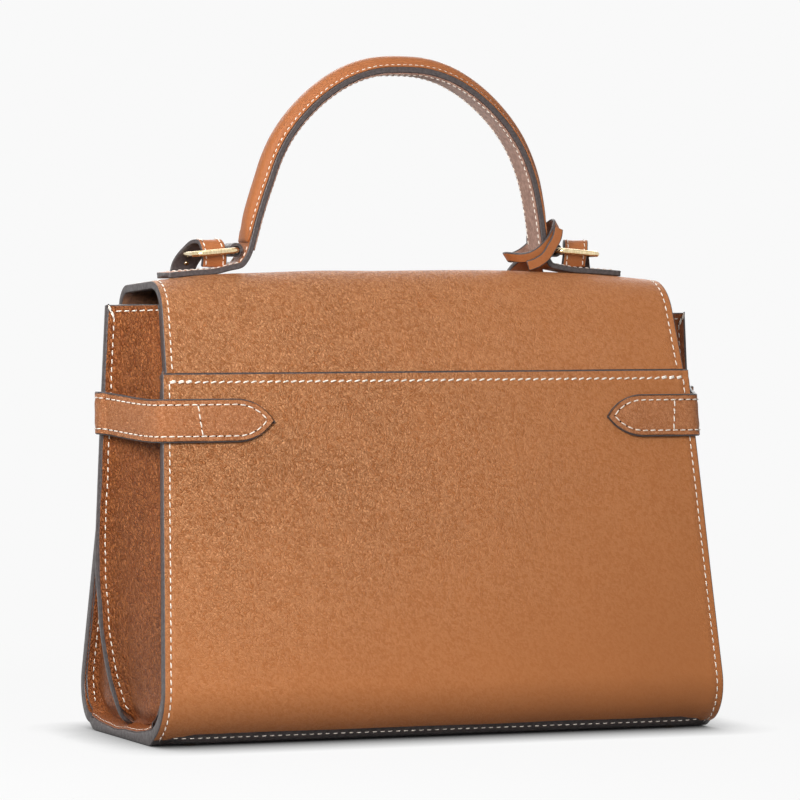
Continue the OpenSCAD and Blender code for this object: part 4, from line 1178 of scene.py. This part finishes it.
def off_x(z):
    return HANDLE_OFF + FOOT_OFF * max(0, 1 - (z - FOOT_Z) / (HANDLE_RISE * 0.45))


def handle_limb(side):
    points = []
    for out, up in HANDLE_SHARES:
        z = FOOT_Z + up * HANDLE_RISE
        points.append((side * out * HANDLE_HALF + off_x(z), z))
    far = HANDLE_HALF + FOOT_L
    for x in (HANDLE_HALF * 1.09, (HANDLE_HALF * 1.09 + far) / 2, far):
        at = side * x + HANDLE_OFF + FOOT_OFF
        points.append((at, top_z(at) - SUEDE_T + SEWN_GAP))
    return points


HANDLE = evenly(spline(handle_limb(-1)[:0:-1] + handle_limb(1), 4), 1.6)
HANDLE_OUT = unit(np.stack([-np.gradient(HANDLE[:, 1]), np.gradient(HANDLE[:, 0])], 1))
ARCH = [i for i, p in enumerate(HANDLE) if p[1] > COVER_LOW]
SUEDE_ARCH = [i for i, p in enumerate(HANDLE) if p[1] > FOOT_Z + HANDLE_RISE * 0.1]


def swept(name, rows, section, materials):
    """A piece swept along the handle. section gives points across and out of the handle at a row."""
    rings, kinds = [], None
    for i in rows:
        points, kinds = section(i)
        x, z = HANDLE[i]
        ox, oz = HANDLE_OUT[i]
        rings.append([(x + ox * h, y, z + oz * h) for y, h in points])
    return loft(name, rings, materials, kinds)


def strip_section(i):
    points, kinds = band_section(HANDLE_W, STRIP_T, 0.7, groove=0.3)
    return [(y, h + SUEDE_T) for y, h in points], kinds


def suede_section(i):
    points, kinds = band_section(HANDLE_W - STRIP_T / 2, SUEDE_T, 0.3)
    return points, [1] * len(kinds)


def grip_section(i):
    """Section of the padded cover: stitched flanges at the sides and a crown between."""
    first, last = ARCH[0], ARCH[-1]
    end = min(i - first, last - i) * 1.6
    full = GRIP_T * (0.6 + 0.4 * max(HANDLE[i][1] - GRIP_LOW, 0) / (FOOT_Z + HANDLE_RISE - GRIP_LOW))
    flange, flange_h = 2.7, 0.95
    taper = math.sin(math.pi / 2 * min(end / 15, 1))
    crown = flange_h + (full - flange_h) * taper ** 0.8
    half = (HANDLE_W / 2 - 0.35) * (0.8 + 0.2 * min(end / 5, 1))
    pad = half - flange
    top = []
    for s in np.linspace(1, -1, 29):
        y = s * half
        swell = (1 - min(abs(y) / pad, 1) ** 2.6) ** 0.55 if abs(y) < pad else 0
        h = flange_h + (crown - flange_h) * swell
        if abs(s) == 1:
            h = flange_h * 0.55
        top.append((y, h))
    base = SUEDE_T + STRIP_T
    points = [(half - 0.25, base)] + [(y, base + h) for y, h in top] + [(0.25 - half, base)]
    return points, [0] * len(points)


handle_sewing = Sewing("handle_stitches")


def handle():
    strip = swept("handle_strip_skin", range(len(HANDLE)), strip_section, [SMOOTH_TAN, SMOOTH_TAN, EDGE])
    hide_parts("handle_strip")
    cover = swept("handle_cover", ARCH, grip_section, [SMOOTH_TAN])
    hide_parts("handle_grip")
    under = swept("handle_suede", SUEDE_ARCH, suede_section, [NAP, NAP])
    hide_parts("handle_lining")
    for piece in (strip, cover, under):
        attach(piece, "flap")
    for y in (-1, 1):
        sew_handle(ARCH[3:-3], y * (HANDLE_W / 2 - 1.75), SUEDE_T + STRIP_T + 0.9, 1)
        sew_handle(SUEDE_ARCH[2:-2], y * (HANDLE_W / 2 - 1.8), 0, -1)
        for foot in (range(2, ARCH[0] - 1), range(ARCH[-1] + 1, len(HANDLE) - 2)):
            sew_handle(list(foot), y * (HANDLE_W / 2 - 2.2), SUEDE_T + STRIP_T, 1)


def sew_handle(rows, y, h, facing):
    """A row of stitches along the handle, at a distance across it and out of it."""
    (x, z), (ox, oz) = HANDLE[rows].T, HANDLE_OUT[rows].T
    points = np.column_stack([x + ox * h, np.full(len(rows), y), z + oz * h])
    ups = np.column_stack([ox * facing, np.zeros(len(rows)), oz * facing])
    handle_sewing.line(points, ups, pitch=3.0, length=2.2, r=0.28, slant=0.05)


handle()


# Rings, their leather rolls and the bands through them

ROLL_R = WIRE_D * 1.3
ROLL_X = HANDLE_HALF * 0.88 + SUEDE_T + STRIP_T + ROLL_R
ROLL_Z = FOOT_Z + HANDLE_RISE * 0.115
RING_BEND = WIRE_D * 1.4
RING_DIP = math.radians(5)
# Shares of the ring's length, of half its width and of the band's rise
TAB_SHARES = [(0.49, 0.3, 0.05), (0.49, 0.42, 0.35), (0.52, 0.42, 0.72), (0.57, 0.15, 0.95),
              (0.66, -0.35, 0.9), (0.77, -0.85, 0.62), (0.87, -1.2, 0.32), (0.93, -1.38, 0.05),
              (0.97, -1.4, -0.27)]
# Row of a band, counted from its end, that the rivet sits in
RIVET_ROW = -9
# Outline of a rivet: radius and height above the band
RIVET = ((1.1, -0.2), (1.1, 0.25), (0.85, 0.6), (0.3, 0.75))
TAB_T = STRAP_T * 0.9
TAB_FOOT_Z = top_z(ROLL_X + RING_L / 2) + STRIP_T + 3 * SEWN_GAP


def on_foot(points, sx):
    """Points of the trim of a foot, made for the left, put on a side."""
    p = np.asarray(points, float).copy()
    p[..., 0] = p[..., 0] * sx + off_x(ROLL_Z)
    return p


def ring(side_name):
    """A ring of round wire: a rounded rectangle that dips from its roll."""
    sx = SIDES[side_name]
    half = RING_W / 2
    far, wide = RING_L - RING_BEND, half - RING_BEND
    plan = []
    for k, centre in enumerate(((far, wide), (RING_BEND, wide), (RING_BEND, -wide), (far, -wide))):
        plan += arc(centre, RING_BEND, 90 * k, 90 * k + 90, 8)
    path = np.array([(ROLL_X + x * math.cos(RING_DIP), y, ROLL_Z - x * math.sin(RING_DIP))
                     for x, y in plan])
    ahead = unit(np.roll(path, -1, 0) - np.roll(path, 1, 0))
    up = np.array((math.sin(RING_DIP), 0, math.cos(RING_DIP)))
    rings = [[c + WIRE_D / 2 * (up * math.sin(a) + np.cross(d, up) * math.cos(a))
              for a in np.linspace(0, 2 * math.pi, 15)[:-1]] for c, d in zip(path, ahead)]
    made = loft(f"ring_{side_name}_wire", on_foot(rings, sx), [GOLD], closed=True)
    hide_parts(f"ring_{side_name}")
    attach(made, "flap")


def roll(side_name):
    """A strip of leather rolled round the ring's inner bar."""
    sx = SIDES[side_name]
    t = 1.0
    path = []
    for k in np.linspace(0, 1, 60):
        a = math.radians(200 - 640 * k)
        r = ROLL_R - t / 2 - (ROLL_R - t / 2 - WIRE_D / 2 - t / 2 - 0.1) * k
        path.append((ROLL_X + r * math.cos(a), 0, ROLL_Z + r * math.sin(a)))
    wide = RING_W - 2 * RING_BEND
    made = ribbon(f"roll_{side_name}_skin", on_foot(path, sx), (0, 1, 0), wide, t, [EDGE] * 3, r=0.35)[0]
    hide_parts(f"roll_{side_name}")
    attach(made, "flap")


def ring_tab(side_name):
    """A band that rises through the ring, turns over its front bar and comes down on the flap."""
    sx = SIDES[side_name]
    up = RING_L * 0.6
    path = spline([(ROLL_X + a * RING_L, b * RING_W / 2, TAB_FOOT_Z + c * up) for a, b, c in TAB_SHARES], 5)
    made, outer, ups, across = ribbon(f"ring_tab_{side_name}_skin", on_foot(path, sx), (1, 0, 0),
                                      TAB_W, TAB_T, [SMOOTH_TAN, EDGE, EDGE], r=0.4)
    for edge in (-1, 1):
        points = outer + across * edge * (TAB_W / 2 - 1.8)
        handle_sewing.line(points[1:-2], ups[1:-2], pitch=3.0, length=2.5, r=0.3)
    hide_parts(f"ring_tab_{side_name}")
    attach(made, "flap")
    k = RIVET_ROW
    return rivet(f"tab_rivet_{side_name}", outer[k] - ups[k] * TAB_T, -ups[k], across[k])


def rivet(name, low, up, across):
    """A small domed rivet that stands on a band's face."""
    far = unit(np.cross(up, across))
    near = np.cross(far, up)
    rings = [[low + up * h + (far * math.cos(a) + near * math.sin(a)) * r
              for a in np.linspace(0, 2 * math.pi, 17)[:-1]] for r, h in RIVET]
    return loft(name, np.array(rings), [GOLD])


def tab_rivets(made):
    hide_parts("tab_rivets")
    for piece in made:
        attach(piece, "flap")


rivets = []
for side_name in SIDES:
    ring(side_name)
    roll(side_name)
    rivets.append(ring_tab(side_name))
tab_rivets(rivets)


# Lace and tag

LACE_T = LACE_W * 0.26
LACE_Z = FOOT_Z + HANDLE_RISE * 0.17
LACE_C = np.array((off_x(LACE_Z) - HANDLE_HALF * 0.836, 0, LACE_Z))
LACE_TILT = math.radians(33)
LACE_B = HANDLE_W / 2 + LACE_T * 1.25
LACE_SAG = LACE_W * 1.2
# Places of the lace's end, in widths of the lace
TAIL_SHARES = [(-2.1, -0.55, 1.05), (-1.75, -0.1, 0.2), (-1.1, 0.05, -0.8), (-0.5, 0.12, -1.6),
               (0.4, 0.12, -2.2), (1.3, 0.1, -2.5)]


def lace():
    """A lace looped round the right foot of the handle, with a loose end and a hanger for the tag."""
    side = np.array((-math.cos(LACE_TILT), 0, math.sin(LACE_TILT)))
    looks = [SMOOTH_TAN, NAP, EDGE]
    loop = np.array([LACE_C + side * HANDLE_W * 0.86 * math.cos(a)
                     + np.array((0, LACE_B * math.sin(a), -LACE_SAG * math.sin(a) ** 2))
                     for a in np.linspace(0, 2 * math.pi, 73)[:-1]])
    ahead = unit(np.roll(loop, -1, 0) - np.roll(loop, 1, 0))
    wide = np.cross(ahead, (loop - LACE_C) * (0, 1, 0) + side * np.sum((loop - LACE_C) * side, 1)[:, None])
    parts = [ribbon("lace_loop", loop, wide, LACE_W, LACE_T, looks, closed=True, turn=-1)[0]]
    tail = spline([LACE_C + (0, LACE_B + LACE_T, 0) + np.array(p) * LACE_W for p in TAIL_SHARES], 8)
    across = np.cross((0, 1, 0), np.gradient(tail, axis=0))
    parts.append(ribbon("lace_tail", tail, across, LACE_W, LACE_T, looks)[0])
    hanger = LACE_C + (-LACE_W, -LACE_B - LACE_T, LACE_W * 0.4)
    top = hanger - (0, 0, LACE_W * 1.3)
    fall = np.array((-TAG_L * 0.2, -TAG_L * 0.85, top_z(0) - top[2] - TAG_L * 0.2))
    ahead = unit(fall)
    across = unit(np.cross(ahead, (0, 0, 1)))
    low = top + (0, 0, LACE_T * 0.9 + 2.5 * REST_GAP)
    parts.append(ribbon("lace_hanger", spline([hanger, low], 8), across, LACE_W, LACE_T, looks)[0])
    for piece in parts:
        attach(piece, "flap")
    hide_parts("lace")
    tag(top, ahead, across, np.linalg.norm(fall), LACE_T * 1.8)


def tag(top, ahead, across, length, t):
    """A leather tag that widens from its lace to a rounded end."""
    shares = spline([(0, 0.12), (0.2, 0.18), (0.5, 0.4), (0.8, 0.5), (0.93, 0.46), (1, 0.3)], 6)
    widths = np.linspace(-1, 1, 17)
    out = unit(np.cross(ahead, across))
    out = out if out[2] > 0 else -out
    grid = np.array([[top + ahead * s * length + across * w * k * TAG_W + out * t / 2 for k in widths]
                     for s, w in shares])
    surface = sheet("tag_skin", grid, t, [SMOOTH_TAN, SMOOTH_TAN, EDGE],
                    inside=tuple(top - out * 50), rim=0.4)
    made = surface[0]
    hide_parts("tag")
    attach(made, "tag")
    sewing = Sewing("tag_stitches")
    for column in ("first_column", "last_column"):
        seam(sewing, surface, column, 1.8, start=6, end=1.5, pitch=2.8, length=2.0, r=0.3)
    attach(sewing.piece(), "tag")


lace()

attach(root_sewing.piece(), "root")
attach(handle_sewing.piece(), "flap")
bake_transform(flap_sewing.piece())

# Materials of the constructed pieces, also of those that are replaced above
CONSTRUCTED = {
    BOARD: ("back_board", "front_board", "base_board", "handle_core"),
    LINING: ("lining", "inner_pocket"),
    # The studs take the gold that is painted dark for the shade under the bag
    SHADED_BRASS: ("base_studs",),
    GOLD: ("slot_plate", "lock_base", "lock_backplate", "lock_knob", "snap_posts",
           "snap_cap_left", "snap_cap_right", "handle_anchors", "ring_left", "ring_right"),
    TAN: ("back_panel", "front_panel", "base_panel", "flap_yoke", "flap_leather", "strap_left_back",
          "strap_left_front", "strap_right_back", "strap_right_front"),
    SMOOTH_TAN: ("handle_grip", "ring_tab_left", "ring_tab_right", "lace", "tag"),
    SHADED_TAN: ("gusset_left_back", "gusset_left_front", "gusset_right_back", "gusset_right_front"),
    EDGE: ("handle_strip", "roll_left", "roll_right"),
    NAP: ("handle_lining", "flap_lining"),
}


def finish_constructed():
    for material, names in CONSTRUCTED.items():
        for name in names:
            slots = frame["nodes"][name].material_slots
            if not slots:
                frame["nodes"][name].data.materials.append(material)
            for kept in slots:
                kept.material = material


finish_constructed()


# Camera, light and floor

CAMERA_AT = (833.8, 2156.0, 220.7)
LOOK_AT = (0.461, -0.178, 156.2)
LENS = 218.96
# Each lamp: its name, place and size in metres, and power in watts
LAMPS = (("key", (0.42, 0.5, 0.42), (0.3, 0.3), 5.2), ("fill", (-1.6, 1.9, 0.9), (1.5, 1.5), 2),
         ("top", (0.4, 0.3, 2.2), (1.8, 1.6), 11), ("rear", (-0.6, -2.0, 1.4), (2.0, 1.4), 26))
LAMP_TARGET = (0, 0, 0.12)
# Level of the light from all round, and the white that is seen behind the bag
WORLD_LIGHT, WHITE = 0.25, 0.947
# Colour and glow of the floor as it is seen, and reach and strength of the shade under the bag
FLOOR_PAINT, FLOOR_LIFT = 0.04, 0.905
SHADE_REACH, SHADE_POWER = 0.032, 1.2


def aim(name, data, place, target):
    """A camera or lamp at a place, turned to a target, both in metres."""
    made = bpy.data.objects.new(name, data)
    made.location = place
    made.rotation_euler = (Vector(target) - made.location).to_track_quat("-Z", "Y").to_euler()
    bpy.context.scene.collection.objects.link(made)
    return made


def camera():
    data = bpy.data.cameras.new("camera")
    data.lens = LENS
    data.sensor_width = 36
    data.clip_end = 50
    bpy.context.scene.camera = aim("camera", data, Vector(CAMERA_AT) * MM, Vector(LOOK_AT) * MM)


def area_light(name, place, size, watts):
    """A soft lamp turned to the bag."""
    data = bpy.data.lights.new(name, "AREA")
    data.shape = "RECTANGLE"
    data.size, data.size_y = size
    data.energy = watts
    aim(name, data, place, LAMP_TARGET)


def seen_directly(tree):
    """1 for what the camera, mirrors and glass see, else 0."""
    path = tree.nodes.new("ShaderNodeLightPath")
    value = path.outputs["Is Camera Ray"]
    for ray in ("Is Glossy Ray", "Is Transmission Ray"):
        both = tree.nodes.new("ShaderNodeMath")
        both.operation = "MAXIMUM"
        tree.links.new(value, both.inputs[0])
        tree.links.new(path.outputs[ray], both.inputs[1])
        value = both.outputs[0]
    return value


def world():
    made = bpy.data.worlds.new("studio")
    made.use_nodes = True
    tree = made.node_tree
    plain = tree.nodes["Background"]
    plain.inputs[0].default_value = (1, 0.985, 0.97, 1)
    plain.inputs[1].default_value = WORLD_LIGHT
    shown = tree.nodes.new("ShaderNodeBackground")
    shown.inputs[0].default_value = (WHITE, WHITE, WHITE, 1)
    mix = tree.nodes.new("ShaderNodeMixShader")
    for socket, value in zip(mix.inputs, (seen_directly(tree), plain.outputs[0], shown.outputs[0])):
        tree.links.new(value, socket)
    tree.links.new(mix.outputs[0], tree.nodes["World Output"].inputs[0])
    bpy.context.scene.world = made


def floor():
    """A pale floor that the camera sees as white, with the bag's shadow on it."""
    n = Nodes("pale_floor")
    grain = n.noise(n.places(), 40, 2.0)
    tone = n.mix(grain, (0.38, 0.38, 0.38, 1), (0.4, 0.4, 0.4, 1))
    n.finish(Base_Color=tone, Roughness=0.95, Specular_IOR_Level=0.0)
    near = n.add("AmbientOcclusion", {"samples": 12}, Distance=SHADE_REACH).outputs["AO"]
    dark = n.math("POWER", near, SHADE_POWER)
    out = n.add("VectorMath", {"operation": "LENGTH"}, Vector=n.add("TexCoord").outputs["Object"])
    far = n.spread(out.outputs["Value"], 0.25, 0.6, 0.0, 1.0)
    seen = seen_directly(n.tree)
    paint = n.add("BsdfDiffuse", Color=(FLOOR_PAINT,) * 3 + (1,))
    lift = n.add("Emission", Color=(1, 1, 1, 1), Strength=n.math("MULTIPLY", dark, FLOOR_LIFT))
    both = n.add("AddShader")
    plain = n.add("Emission", Color=(1, 1, 1, 1), Strength=WHITE)
    spread = n.add("MixShader")
    view = n.add("MixShader")
    joined = ((both, (paint, lift)), (spread, (far, both, plain)), (view, (seen, n.shader, spread)))
    for node, values in joined:
        for socket, value in zip(node.inputs, values):
            n.join(value if isinstance(value, bpy.types.NodeSocket) else value.outputs[0], socket)
    n.join(view.outputs[0], n.tree.nodes["Material Output"].inputs[0])
    half = 9000
    made = make("floor", [(-half, -half, 0), (half, -half, 0), (half, half, 0), (-half, half, 0)],
                [[0, 1, 2, 3]], [n.material])


camera()
world()
floor()
for lamp in LAMPS:
    area_light(*lamp)
bpy.context.scene.view_settings.view_transform = "Standard"
